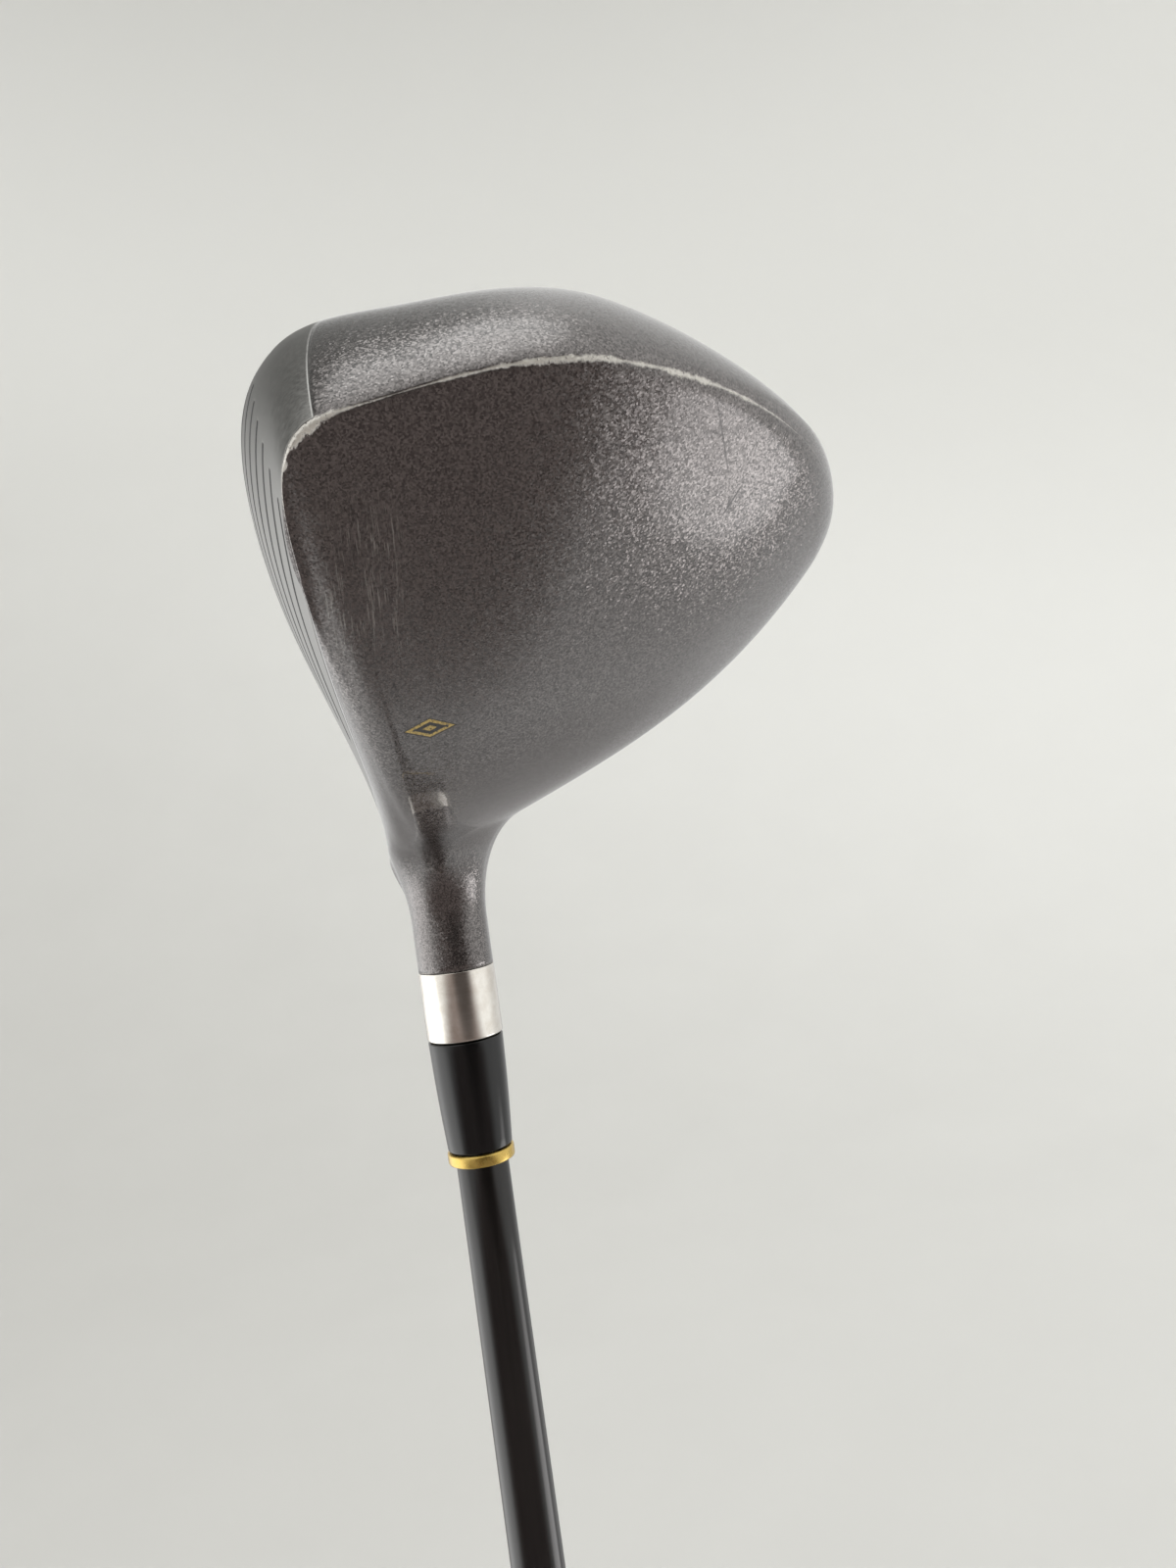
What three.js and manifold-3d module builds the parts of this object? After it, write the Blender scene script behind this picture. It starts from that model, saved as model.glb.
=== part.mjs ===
// A right-handed golf driver: hollow steel head, bonded graphite shaft and slip-on grip.
//
// Object frame, millimetres: the shaft axis is +Z, the origin is the middle of the grip's butt face and
// the head is at the top. The face looks towards -Y and the toe points towards +X.
// The head is drawn in the golfer's own frame, which is then turned onto the shaft: x runs from heel to
// toe, y from back to front (towards the target), z up from the ground, and its origin is the point where
// the shaft axis meets the ground. A height along the shaft, in the head, is measured from that point.

import * as THREE from 'three';
import { mergeVertices } from 'three/addons/utils/BufferGeometryUtils.js';
import Module from 'manifold-3d';

const wasm = await Module();
wasm.setup();

// ---------------------------------------------------------------- driving dimensions

const CLUB_LENGTH = 1118;            // butt face to the ground along the shaft (44 in)
const LIE = THREE.MathUtils.degToRad(56);
const GAP = 0.3;                     // clearance between pieces that are bonded or welded together

const NECK_RADIUS = 6.65;
const NECK_FOOT = 42;                // the fillet onto the crown starts at this height
const FILLET_HOLD = [0.42, 0.3];     // how long the fillet keeps to the neck and to the crown
const NECK_TOP = 50;
const COLLAR_TOP = 62;
const SHELL_WALL = 1.0;
const FACE_WALL = 1.8;
const SOLE_WALL = 2.2;

const HOSEL_BOTTOM = 15;
const HOSEL_RADIUS = 5.2;
const COLLAR_RADIUS = 6.5;
const BORE_RADIUS = 4.85;
const STOPPER_HEIGHT = 4;

const SHAFT_TIP = 26;
const TIP_RADIUS = 4.5;
const TIP_PARALLEL = 100;            // the tip keeps its diameter up to this height
const BUTT_RADIUS = 7.65;
const TIP_WALL = 2.0;
const BUTT_WALL = 1.2;
const BOND = 0.25;                   // thickness of the adhesive sleeve round the tip

const FERRULE_LENGTH = 18.6;
const FERRULE_RADIUS = { foot: 6.45, top: 5.55 };
const RING_HEIGHT = 2.1;
const RING_RADIUS = 5.75;

const GRIP_LENGTH = 270;
const GRIP_RADIUS = { mouth: 8.8, butt: 13.4 };
const CAP_HEIGHT = 4;
const CAP_RADIUS = 12.4;
const VENT_RADIUS = 1.3;
const TAPE_THICKNESS = 0.25;

const SOLE_POLE = [36, -8];          // middle of the flat patch that the head rests on
const SOLE_FLAT = 0.45;              // share of the way to the sole edge that is truly flat
const BADGE = { radius: 6, low: 0.1, recess: 1.1 };
const PORT = { x: 12, y: -9, radius: 3, low: 0.4, depth: 4.5, socket: 1.3, socketDepth: 2.6 };
const TIP_WEIGHT = { radius: 1.9, length: 19 };
const TIP_PLUG = { radius: 2.1, length: 11 };

const FOAM_MIDDLE = [40, -12, 20];
const FOAM_SCALE = 0.7;

const ROUND = 32;                    // sides of a turned piece
const PER_UNIT = 3;                  // mesh columns to one unit of the way round the head

// The foot of the neck's fillet is an oval on the crown, longer towards the back, in a sloping plane.
const FOOT_MIDDLE = -8.5;            // x of the oval's middle
const FOOT_REACH = { toe: 12, face: 9, back: 13.5 };
const FOOT_HEIGHT = 32.7;            // height of that plane over the ground point of the shaft axis
const FOOT_SLOPE = { toe: 0.7, face: 0.17 };

// The skirt's two handles, as shares of its height: on the flat face, and on the round sides.
const FACE_HOLD = [0.6, 0.12];
const ROUND_HOLD = [0.4, 0.4];

// Where a way round the head is measured: it is 20 units long and starts at the heel.
const LAP = 20;
const FACE_FROM = 2;                 // where the face piece starts and ends
const FACE_TO = 9;

// The head's sections, from the heel round the face, the toe and the back. at is where a section stands on
// the way round and turn is its angle round the neck. edge is the rim of the crown and sole is the edge of
// the sole plate. rise and fall are the crown's slopes at its start and at its rim, lean is how far the
// skirt sets off outwards, and flat is 1 where it is as flat as the face and 0 where it is round.
function station(at, turn, edge, sole, rise, fall, lean, flat) {
  return { at, values: [turn, ...edge, ...sole, rise, fall, lean, flat] };
}

const STATIONS = [
  // heel
  station(0, 180, [-17.5, 0, 14], [-6, -1, 3], -1.5, -1.5, 0.3, 0),
  station(1, 135, [-17, 5, 16], [-5, 6, 3], -1.5, -1.5, 0.3, 0),
  // face
  station(2, 100, [-6.5, 8.5, 26], [0, 10.5, 2], -0.1, 0.1, 0.2, 0.7),
  station(4, 55, [25, 10.5, 38], [24, 17.5, 1], 0.3, 0.15, 0.3, 1),
  station(6, 32, [60, 14, 42.5], [52, 18.5, 1.5], 0.35, -0.05, 0.35, 1),
  station(8, 20, [80.5, 14.5, 39], [65, 10, 4.5], 0.4, -0.3, 0.1, 0.2),
  // toe
  station(10, 5, [86, 4.5, 37.5], [67, -3, 5], 0.4, -0.35, 0.2, 0),
  station(12, -25, [87, -19, 35.5], [66, -20, 5.5], 0.4, -0.4, 0.25, 0),
  // back
  station(14, -55, [69.5, -46, 29.5], [50, -36, 8], 0.3, -0.5, 0.35, 0),
  station(15, -70, [48, -54.5, 25], [36, -38, 8.5], 0.15, -0.5, 0.5, 0),
  station(17, -110, [10, -31, 20], [9, -21, 6], -0.1, -0.6, 0.6, 0),
  station(19, -160, [-16, -5.5, 15], [-4.5, -5, 3.5], -1.4, -1.4, 0.4, 0),
];

// ---------------------------------------------------------------- materials

const steelPaint = new THREE.MeshStandardMaterial({ color: 0x6e6665, roughness: 0.32, metalness: 0.6 });
const faceSteel = new THREE.MeshStandardMaterial({ color: 0x8b8683, roughness: 0.38, metalness: 0.9 });
const soleSteel = new THREE.MeshStandardMaterial({ color: 0x9a9794, roughness: 0.3, metalness: 0.9 });
const collarSteel = new THREE.MeshStandardMaterial({ color: 0xc9c3b8, roughness: 0.2, metalness: 1 });
const blackGloss = new THREE.MeshStandardMaterial({ color: 0x0c0d0f, roughness: 0.18, metalness: 0 });
const goldTrim = new THREE.MeshStandardMaterial({ color: 0xb08a2e, roughness: 0.3, metalness: 0.9 });
const graphite = new THREE.MeshStandardMaterial({ color: 0x121214, roughness: 0.22, metalness: 0.1 });
const gripRubber = new THREE.MeshStandardMaterial({ color: 0x17181a, roughness: 0.85, metalness: 0 });
const tapePaper = new THREE.MeshStandardMaterial({ color: 0xd9d2bf, roughness: 0.8, metalness: 0 });
const adhesive = new THREE.MeshStandardMaterial({ color: 0xc2a970, roughness: 0.5, metalness: 0 });
const foam = new THREE.MeshStandardMaterial({ color: 0xd8c493, roughness: 0.95, metalness: 0 });
const brass = new THREE.MeshStandardMaterial({ color: 0xa98a45, roughness: 0.4, metalness: 0.9 });
const screwSteel = new THREE.MeshStandardMaterial({ color: 0x77777a, roughness: 0.4, metalness: 0.9 });

// ---------------------------------------------------------------- the head's surface

const UP_SHAFT = new THREE.Vector3(-Math.cos(LIE), 0, Math.sin(LIE));
const TOEWARD = new THREE.Vector3(Math.sin(LIE), 0, Math.cos(LIE));

const vec = (list) => new THREE.Vector3(...list);
const mix = (a, b, t) => a.clone().lerp(b, t);
const onShaft = (height) => UP_SHAFT.clone().multiplyScalar(height);

function bezier(a, b, c, d, t) {
  return new THREE.CubicBezierCurve3(a, b, c, d).getPoint(t);
}

// A station counted on past the last one, or back before the first, with its values in one list.
function stationValues(index) {
  const lap = Math.floor(index / STATIONS.length);
  const { at, values: [turn, ...rest] } = STATIONS[index - lap * STATIONS.length];
  return { at: at + LAP * lap, values: [turn - 360 * lap, ...rest] };
}

// The foot of the fillet at an angle round the neck.
function footAt(turn) {
  const side = Math.sin(turn) > 0 ? FOOT_REACH.face : FOOT_REACH.back;
  const x = FOOT_MIDDLE + FOOT_REACH.toe * Math.cos(turn);
  const y = side * Math.sin(turn);
  return new THREE.Vector3(x, y, FOOT_HEIGHT + FOOT_SLOPE.toe * x + FOOT_SLOPE.face * y);
}

// The section at a place on the way round, by a smooth closed curve through every value.
function sectionAt(place) {
  const around = THREE.MathUtils.euclideanModulo(place, LAP);
  const index = STATIONS.findLastIndex((s) => s.at <= around);
  const [a, b, c, d] = [index - 1, index, index + 1, index + 2].map(stationValues);
  const length = c.at - b.at;
  const f = (around - b.at) / length;
  const value = b.values.map((start, k) => {
    const end = c.values[k];
    const leave = length * (end - a.values[k]) / (c.at - a.at);
    const arrive = length * (d.values[k] - start) / (d.at - b.at);
    const bend = leave - (end - start);
    const turnBack = arrive - (end - start);
    return start + f * (end - start) + f * (1 - f) * (bend * (1 - f) - turnBack * f);
  });
  const turn = THREE.MathUtils.degToRad(value[0]);
  const height = value[3] - value[6];
  const flat = value[10];
  return {
    turn,
    root: footAt(turn),
    edge: vec(value.slice(1, 4)),
    sole: vec(value.slice(4, 7)),
    rise: value[7],
    fall: value[8],
    lean: value[9],
    hold: ROUND_HOLD.map((share, k) => height * THREE.MathUtils.lerp(share, FACE_HOLD[k], flat)),
  };
}

// Points of one section for each zone: t runs from 0 to 1 within the zone, from the neck downwards.
const ZONES = {
  neck(s, t) {
    return neckRing(s, NECK_TOP + (NECK_FOOT - NECK_TOP) * t);
  },
  fillet(s, t) {
    const top = neckRing(s, NECK_FOOT);
    const reach = s.root.distanceTo(top);
    const along = crownDirection(s, s.rise);
    const first = top.clone().addScaledVector(UP_SHAFT, -FILLET_HOLD[0] * reach);
    const last = s.root.clone().addScaledVector(along, -FILLET_HOLD[1] * reach);
    return bezier(top, first, last, s.root, t);
  },
  crown(s, t) {
    const span = Math.hypot(s.edge.x - s.root.x, s.edge.y - s.root.y);
    const point = mix(s.root, s.edge, t);
    const ease = t * t * (3 - 2 * t);
    const bow = s.rise * t * (1 - t) ** 2 - s.fall * t * t * (1 - t);
    point.z = s.root.z + (s.edge.z - s.root.z) * ease + span * bow;
    return point;
  },
  skirt(s, t) {
    const out = new THREE.Vector3(s.sole.x - SOLE_POLE[0], s.sole.y - SOLE_POLE[1], 0).normalize();
    const leave = new THREE.Vector3(out.x * s.lean, out.y * s.lean, -1).normalize();
    const arrive = new THREE.Vector3(-out.x, -out.y, -0.12).normalize();
    const first = s.edge.clone().addScaledVector(leave, s.hold[0]);
    return bezier(s.edge, first, s.sole.clone().addScaledVector(arrive, -s.hold[1]), s.sole, t);
  },
  sole(s, t) {
    const reach = 1 - t;
    const curved = Math.max(0, (reach - SOLE_FLAT) / (1 - SOLE_FLAT));
    const pole = new THREE.Vector3(...SOLE_POLE, 0);
    const point = mix(pole, s.sole, reach);
    point.z = s.sole.z * curved * curved;
    return point;
  },
};

function neckRing(s, height) {
  const around = TOEWARD.clone().multiplyScalar(Math.cos(s.turn));
  around.y = Math.sin(s.turn);
  return onShaft(height).addScaledVector(around, NECK_RADIUS);
}

function crownDirection(s, slope) {
  const plan = new THREE.Vector3(s.edge.x - s.root.x, s.edge.y - s.root.y, 0).normalize();
  plan.z = slope;
  return plan.normalize();
}

// Rows of one section: a list of [zone, t], with each zone cut into its own number of steps.
function rowsOf(...zones) {
  const rows = [];
  for (const [name, from, to, steps] of zones) {
    for (let k = rows.length ? 1 : 0; k <= steps; k++) {
      rows.push([name, from + (to - from) * k / steps]);
    }
  }
  return rows;
}

// A grid of points on the head, one list per column, and the outward normal at each of them.
function headGrid(places, rows) {
  const at = (place, [zone, t]) => ZONES[zone](sectionAt(place), t);
  const step = 0.02;
  const points = places.map((place) => rows.map((row) => at(place, row)));
  const normals = places.map((place, i) => rows.map((row, j) => {
    const across = at(place + step, row).sub(at(place - step, row));
    const column = points[i];
    const along = column[Math.min(j + 1, rows.length - 1)].clone().sub(column[Math.max(j - 1, 0)]);
    return across.cross(along).normalize();
  }));
  return { points, normals };
}

// A grid's points, moved inwards by a wall's thickness.
function inset({ points, normals }, wall) {
  const moved = (point, i, j) => point.clone().addScaledVector(normals[i][j], -wall);
  return points.map((column, i) => column.map((point, j) => moved(point, i, j)));
}

// A closed wall between an outer and an inner grid of points, and the rim that joins them.
// keep(i, j) says whether the cell from column i to i + 1 and row j to j + 1 is part of the wall.
function wallBetween(outside, inside, closed, keep) {
  const columns = outside.length;
  const rows = outside[0].length;
  const vertices = [...outside.flat(), ...inside.flat()].flatMap((point) => point.toArray());
  const outer = (i, j) => (i % columns) * rows + j;
  const inner = (i, j) => columns * rows + outer(i, j);
  const cells = closed ? columns : columns - 1;
  const solid = (i, j) => {
    const column = closed ? (i + columns) % columns : i;
    return column >= 0 && column < cells && j >= 0 && j < rows - 1 && keep(column, j);
  };
  const faces = [];
  const quad = (a, b, c, d) => faces.push(a, b, c, a, c, d);
  for (let i = 0; i < cells; i++) {
    for (let j = 0; j < rows - 1; j++) {
      if (!solid(i, j)) continue;
      quad(outer(i, j), outer(i + 1, j), outer(i + 1, j + 1), outer(i, j + 1));
      quad(inner(i, j), inner(i, j + 1), inner(i + 1, j + 1), inner(i + 1, j));
      if (!solid(i, j - 1)) quad(outer(i + 1, j), outer(i, j), inner(i, j), inner(i + 1, j));
      if (!solid(i, j + 1)) quad(outer(i, j + 1), outer(i + 1, j + 1), inner(i + 1, j + 1), inner(i, j + 1));
      if (!solid(i - 1, j)) quad(outer(i, j), outer(i, j + 1), inner(i, j + 1), inner(i, j));
      if (!solid(i + 1, j)) quad(outer(i + 1, j + 1), outer(i + 1, j), inner(i + 1, j), inner(i + 1, j + 1));
    }
  }
  return indexed(vertices, faces);
}

// A closed lump from rings of points, capped at its first ring and closed at its last point.
function lumpFromRings(rings, lastPoint, firstPoint) {
  const count = rings[0].length;
  const vertices = [...rings.flat(), lastPoint, firstPoint].flatMap((point) => point.toArray());
  const last = rings.length * count;
  const first = last + 1;
  const faces = [];
  for (let i = 0; i < count; i++) {
    const next = (i + 1) % count;
    faces.push(first, next, i);
    for (let j = 0; j < rings.length - 1; j++) {
      const [a, b, c, d] = [j * count + i, j * count + next, (j + 1) * count + next, (j + 1) * count + i];
      faces.push(a, b, c, a, c, d);
    }
    const base = (rings.length - 1) * count;
    faces.push(base + i, base + next, last);
  }
  return indexed(vertices, faces);
}

function indexed(vertices, faces) {
  const geometry = new THREE.BufferGeometry();
  geometry.setAttribute('position', new THREE.BufferAttribute(new Float32Array(vertices), 3));
  geometry.setIndex(faces);
  const used = geometry.toNonIndexed();
  return mergeVertices(used, 1e-4);
}

// ---------------------------------------------------------------- joins and cuts

function toSolid(geometry) {
  const plain = geometry.clone();
  plain.deleteAttribute('normal');
  plain.deleteAttribute('uv');
  const merged = mergeVertices(plain, 1e-4);
  return new wasm.Manifold(new wasm.Mesh({
    numProp: 3,
    vertProperties: merged.attributes.position.array,
    triVerts: new Uint32Array(merged.index.array),
  }));
}

function fromSolid(solid) {
  const { vertProperties, triVerts } = solid.getMesh();
  const geometry = new THREE.BufferGeometry();
  geometry.setAttribute('position', new THREE.BufferAttribute(vertProperties, 3));
  geometry.setIndex(new THREE.BufferAttribute(triVerts, 1));
  return geometry;
}

function cut(geometry, ...tools) {
  return fromSolid(tools.reduce((solid, tool) => solid.subtract(toSolid(tool)), toSolid(geometry)));
}

// ---------------------------------------------------------------- turned pieces

// A closed outline of [radius, height] turned about +Z. It may be listed either way round, and one that
// starts on the axis also ends there.
function turned(outline, sides = ROUND) {
  const points = outline.map(([radius, height]) => new THREE.Vector2(radius, height));
  if (points[0].x > 0) points.push(points[0]);
  if (THREE.ShapeUtils.area(points) < 0) points.reverse();
  return new THREE.LatheGeometry(points, sides).rotateX(Math.PI / 2);
}

// A standing disc or cylinder, from one height up to another.
function disc(radius, low, high, sides = ROUND) {
  return turned([[0, low], [radius, low], [radius, high], [0, high]], sides);
}

const shaftRadius = (height) => {
  const taper = (height - TIP_PARALLEL) / (CLUB_LENGTH - TIP_PARALLEL);
  return TIP_RADIUS + (BUTT_RADIUS - TIP_RADIUS) * Math.max(0, taper);
};
const fromButt = (height) => CLUB_LENGTH - height;

function part(name, geometry, material) {
  const mesh = new THREE.Mesh(geometry, material);
  mesh.name = name;
  return mesh;
}

// ---------------------------------------------------------------- the head's pieces

const SEAM = 0.03;                   // half the width of the face seam, in units of the way round

// Column places all the way round the head.
const evenPlaces = () => Array.from({ length: LAP * PER_UNIT }, (_, k) => k / PER_UNIT);

// The same, with the two columns at the ends of the face moved clear of it.
function bodyPlaces() {
  const places = evenPlaces();
  places[FACE_FROM * PER_UNIT] -= SEAM;
  places[FACE_TO * PER_UNIT] += SEAM;
  return places;
}

function bodyShell() {
  const rows = rowsOf(['neck', 0, 1, 2], ['fillet', 0, 1, 4], ['crown', 0, 1, 9], ['skirt', 0, 0.985, 7]);
  const faceRow = rows.findIndex(([zone]) => zone === 'skirt') - 1;
  const places = bodyPlaces();
  const first = places.findIndex((place) => place > FACE_FROM - 2 * SEAM);
  const last = places.findIndex((place) => place > FACE_TO);
  const inFace = (i, j) => i >= first && i < last && j >= faceRow;
  const grid = headGrid(places, rows);
  return wallBetween(grid.points, inset(grid, SHELL_WALL), true, (i, j) => !inFace(i, j));
}

// The face's back is a little smaller than its front, which clears the shell's mitred edge.
function faceCup() {
  const steps = (FACE_TO - FACE_FROM) * PER_UNIT;
  const placesInside = (margin) => Array.from({ length: steps + 1 }, (_, k) => {
    return THREE.MathUtils.clamp(FACE_FROM + k / PER_UNIT, FACE_FROM + margin, FACE_TO - margin);
  });
  const outside = headGrid(placesInside(SEAM), rowsOf(['skirt', 0.03, 0.985, 10]));
  const inside = headGrid(placesInside(3 * SEAM), rowsOf(['skirt', 0.09, 0.95, 10]));
  return wallBetween(outside.points, inset(inside, FACE_WALL), false, () => true);
}

// The plate's inner side starts further in than its outer side, so its rim is a bevel.
function soleBlank() {
  const ring = (t, lift) => evenPlaces().map((place) => {
    const point = ZONES.sole(sectionAt(place), t);
    point.z += lift;
    return point;
  });
  const flatEdge = 1 - SOLE_FLAT;
  const outside = [0.015, 0.2, 0.36, flatEdge].map((t) => ring(t, 0));
  const inside = [0.13, 0.22, 0.36, flatEdge].map((t) => ring(t, SOLE_WALL));
  const pole = new THREE.Vector3(...SOLE_POLE, 0);
  const inner = new THREE.Vector3(...SOLE_POLE, SOLE_WALL);
  return lumpFromRings([...inside.reverse(), ...outside], pole, inner);
}

function solePlate() {
  const badgeSeat = disc(BADGE.radius + GAP, -1, BADGE.recess).translate(...SOLE_POLE, 0);
  const port = disc(PORT.radius + GAP, -1, SOLE_WALL + 2).translate(PORT.x, PORT.y, 0);
  return cut(soleBlank(), badgeSeat, port);
}

function soleBadge() {
  return disc(BADGE.radius, BADGE.low, BADGE.recess - GAP).translate(...SOLE_POLE, 0);
}

function portScrew() {
  const head = disc(PORT.radius, PORT.low, PORT.depth);
  const socket = disc(PORT.socket, 0, PORT.socketDepth, 6);
  return cut(head, socket).translate(PORT.x, PORT.y, 0);
}

function foamFill() {
  const middle = vec(FOAM_MIDDLE);
  const shrunk = (point) => mix(middle, point, FOAM_SCALE);
  const rows = rowsOf(['crown', 0.15, 1, 5], ['skirt', 0, 1, 4], ['sole', 0, 1 - SOLE_FLAT, 3]);
  const places = evenPlaces().filter((_, k) => k % 2 === 0);
  const rings = rows.map(([zone, t]) => places.map((place) => shrunk(ZONES[zone](sectionAt(place), t))));
  const top = new THREE.Vector3();
  for (const point of rings[0]) top.addScaledVector(point, 1 / places.length);
  return lumpFromRings(rings, shrunk(new THREE.Vector3(...SOLE_POLE, 0)), top);
}

// ---------------------------------------------------------------- the hosel and what is bonded in it

function hosel() {
  const chamfer = 0.5;
  const shoulder = NECK_TOP + GAP;
  return turned([
    [BORE_RADIUS, fromButt(COLLAR_TOP)],
    [BORE_RADIUS, fromButt(HOSEL_BOTTOM)],
    [HOSEL_RADIUS, fromButt(HOSEL_BOTTOM)],
    [HOSEL_RADIUS, fromButt(shoulder)],
    [COLLAR_RADIUS, fromButt(shoulder)],
    [COLLAR_RADIUS, fromButt(COLLAR_TOP - chamfer)],
    [COLLAR_RADIUS - chamfer, fromButt(COLLAR_TOP)],
  ]);
}

function hoselStopper() {
  const low = fromButt(SHAFT_TIP - GAP);
  return disc(BORE_RADIUS - 0.1, low, low + STOPPER_HEIGHT);
}

function hoselEpoxy() {
  const inside = TIP_RADIUS + 0.04;
  const outside = inside + BOND;
  const low = fromButt(COLLAR_TOP - 1);
  const high = fromButt(SHAFT_TIP + 1);
  return turned([[inside, low], [outside, low], [outside, high], [inside, high]]);
}

function ferrule() {
  const foot = COLLAR_TOP + GAP;
  const top = foot + FERRULE_LENGTH;
  const bore = TIP_RADIUS + 0.15;
  return turned([
    [bore, fromButt(top)],
    [FERRULE_RADIUS.top, fromButt(top)],
    [0.5 * (FERRULE_RADIUS.top + FERRULE_RADIUS.foot) + 0.1, fromButt(0.5 * (top + foot))],
    [FERRULE_RADIUS.foot, fromButt(foot + 1.5)],
    [FERRULE_RADIUS.foot, fromButt(foot)],
    [bore, fromButt(foot)],
  ]);
}

function ferruleRing() {
  const low = COLLAR_TOP + 2 * GAP + FERRULE_LENGTH;
  const bore = TIP_RADIUS + 0.15;
  const outline = [[bore, fromButt(low + RING_HEIGHT)]];
  const bulge = RING_RADIUS - bore;
  for (let k = 0; k <= 6; k++) {
    const angle = Math.PI * (k / 6 - 0.5);
    const height = low + RING_HEIGHT * (0.5 - 0.5 * Math.sin(angle));
    outline.push([bore + bulge * (0.7 + 0.3 * Math.cos(angle)), fromButt(height)]);
  }
  outline.push([bore, fromButt(low)]);
  return turned(outline);
}

// ---------------------------------------------------------------- the shaft and the grip

function shaft() {
  const butt = CLUB_LENGTH - CAP_HEIGHT - GAP;
  return turned([
    [TIP_RADIUS - TIP_WALL, fromButt(SHAFT_TIP)],
    [BUTT_RADIUS - BUTT_WALL, fromButt(butt)],
    [shaftRadius(butt), fromButt(butt)],
    [TIP_RADIUS, fromButt(TIP_PARALLEL)],
    [TIP_RADIUS, fromButt(SHAFT_TIP)],
  ]);
}

function tipWeight() {
  const foot = SHAFT_TIP + 1;
  return disc(TIP_WEIGHT.radius, fromButt(foot + TIP_WEIGHT.length), fromButt(foot));
}

function tipPlug() {
  const foot = SHAFT_TIP + TIP_WEIGHT.length + 2;
  return disc(TIP_PLUG.radius, fromButt(foot + TIP_PLUG.length), fromButt(foot));
}

function sleeveRound(low, high, inside, outside) {
  return turned([
    [inside(low), low],
    [outside(low), low],
    [outside(high), high],
    [inside(high), high],
  ]);
}

const shaftAt = (z) => shaftRadius(fromButt(z));
const tapeInside = (z) => shaftAt(z) + 0.05;
const tapeOutside = (z) => tapeInside(z) + TAPE_THICKNESS;
const gripInside = (z) => tapeOutside(z) + 0.05;

function gripTape() {
  return sleeveRound(CAP_HEIGHT + 2, GRIP_LENGTH - 6, tapeInside, tapeOutside);
}

// The grip swells towards the butt and ends in a thin rounded mouth.
function gripSleeve() {
  const bottom = CAP_HEIGHT + GAP;
  const radiusAt = (z) => {
    const t = z / GRIP_LENGTH;
    return GRIP_RADIUS.butt + (GRIP_RADIUS.mouth - GRIP_RADIUS.butt) * t ** 0.8;
  };
  const outline = [[gripInside(bottom), bottom], [radiusAt(bottom) - 0.3, bottom]];
  const steps = 8;
  for (let k = 0; k <= steps; k++) {
    const z = bottom + 2 + (GRIP_LENGTH - bottom - 5) * k / steps;
    outline.push([radiusAt(z), z]);
  }
  outline.push([GRIP_RADIUS.mouth - 0.4, GRIP_LENGTH]);
  outline.push([gripInside(GRIP_LENGTH), GRIP_LENGTH]);
  return turned(outline);
}

function gripCap() {
  const bevel = 1.2;
  return turned([
    [VENT_RADIUS, 0],
    [CAP_RADIUS - bevel, 0],
    [CAP_RADIUS, bevel],
    [GRIP_RADIUS.butt - 0.2, CAP_HEIGHT],
    [VENT_RADIUS, CAP_HEIGHT],
  ]);
}

// ---------------------------------------------------------------- assembly

const head = new THREE.Group();
const toRow = new THREE.Matrix4().makeBasis(
  new THREE.Vector3(Math.sin(LIE), 0, Math.cos(LIE)),
  new THREE.Vector3(0, -1, 0),
  new THREE.Vector3(Math.cos(LIE), 0, -Math.sin(LIE)),
);
toRow.setPosition(0, 0, CLUB_LENGTH);
head.applyMatrix4(toRow);
head.add(
  part('body_shell', bodyShell(), steelPaint),
  part('face_cup', faceCup(), faceSteel),
  part('sole_plate', solePlate(), soleSteel),
  part('sole_badge', soleBadge(), brass),
  part('foam_port_screw', portScrew(), screwSteel),
  part('foam_fill', foamFill(), foam),
);

const club = new THREE.Group();
club.add(
  head,
  part('hosel', hosel(), collarSteel),
  part('hosel_stopper', hoselStopper(), tapePaper),
  part('hosel_epoxy', hoselEpoxy(), adhesive),
  part('ferrule', ferrule(), blackGloss),
  part('ferrule_ring', ferruleRing(), goldTrim),
  part('shaft', shaft(), graphite),
  part('tip_weight', tipWeight(), brass),
  part('tip_plug', tipPlug(), tapePaper),
  part('grip_tape', gripTape(), tapePaper),
  part('grip_sleeve', gripSleeve(), gripRubber),
  part('grip_cap', gripCap(), gripRubber),
);

export default club;
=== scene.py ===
"""A right-handed golf driver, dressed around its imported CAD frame.

The shaft axis is +Z, the origin is the middle of the grip's butt face and the head is at the top. The head
is drawn in the golfer's own frame in millimetres: x from heel to toe, y from back to front, z up from the
ground, with its origin where the shaft axis meets the ground. A height along the shaft, in the head, is
measured from that point.
"""
import math

import bpy
import numpy as np
from mathutils import Matrix, Vector


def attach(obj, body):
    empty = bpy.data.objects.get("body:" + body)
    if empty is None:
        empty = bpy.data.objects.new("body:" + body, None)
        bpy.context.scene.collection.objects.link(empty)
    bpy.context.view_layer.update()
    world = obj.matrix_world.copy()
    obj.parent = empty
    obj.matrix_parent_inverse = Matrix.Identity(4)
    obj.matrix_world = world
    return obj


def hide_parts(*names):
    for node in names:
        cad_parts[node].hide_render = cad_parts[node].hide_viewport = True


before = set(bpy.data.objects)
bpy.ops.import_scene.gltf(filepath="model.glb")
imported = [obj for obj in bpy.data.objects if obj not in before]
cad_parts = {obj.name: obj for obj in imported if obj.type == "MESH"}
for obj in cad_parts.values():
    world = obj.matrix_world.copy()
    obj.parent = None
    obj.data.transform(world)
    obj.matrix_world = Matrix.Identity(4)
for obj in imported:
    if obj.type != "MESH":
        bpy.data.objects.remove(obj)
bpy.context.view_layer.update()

MM = 0.001

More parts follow.
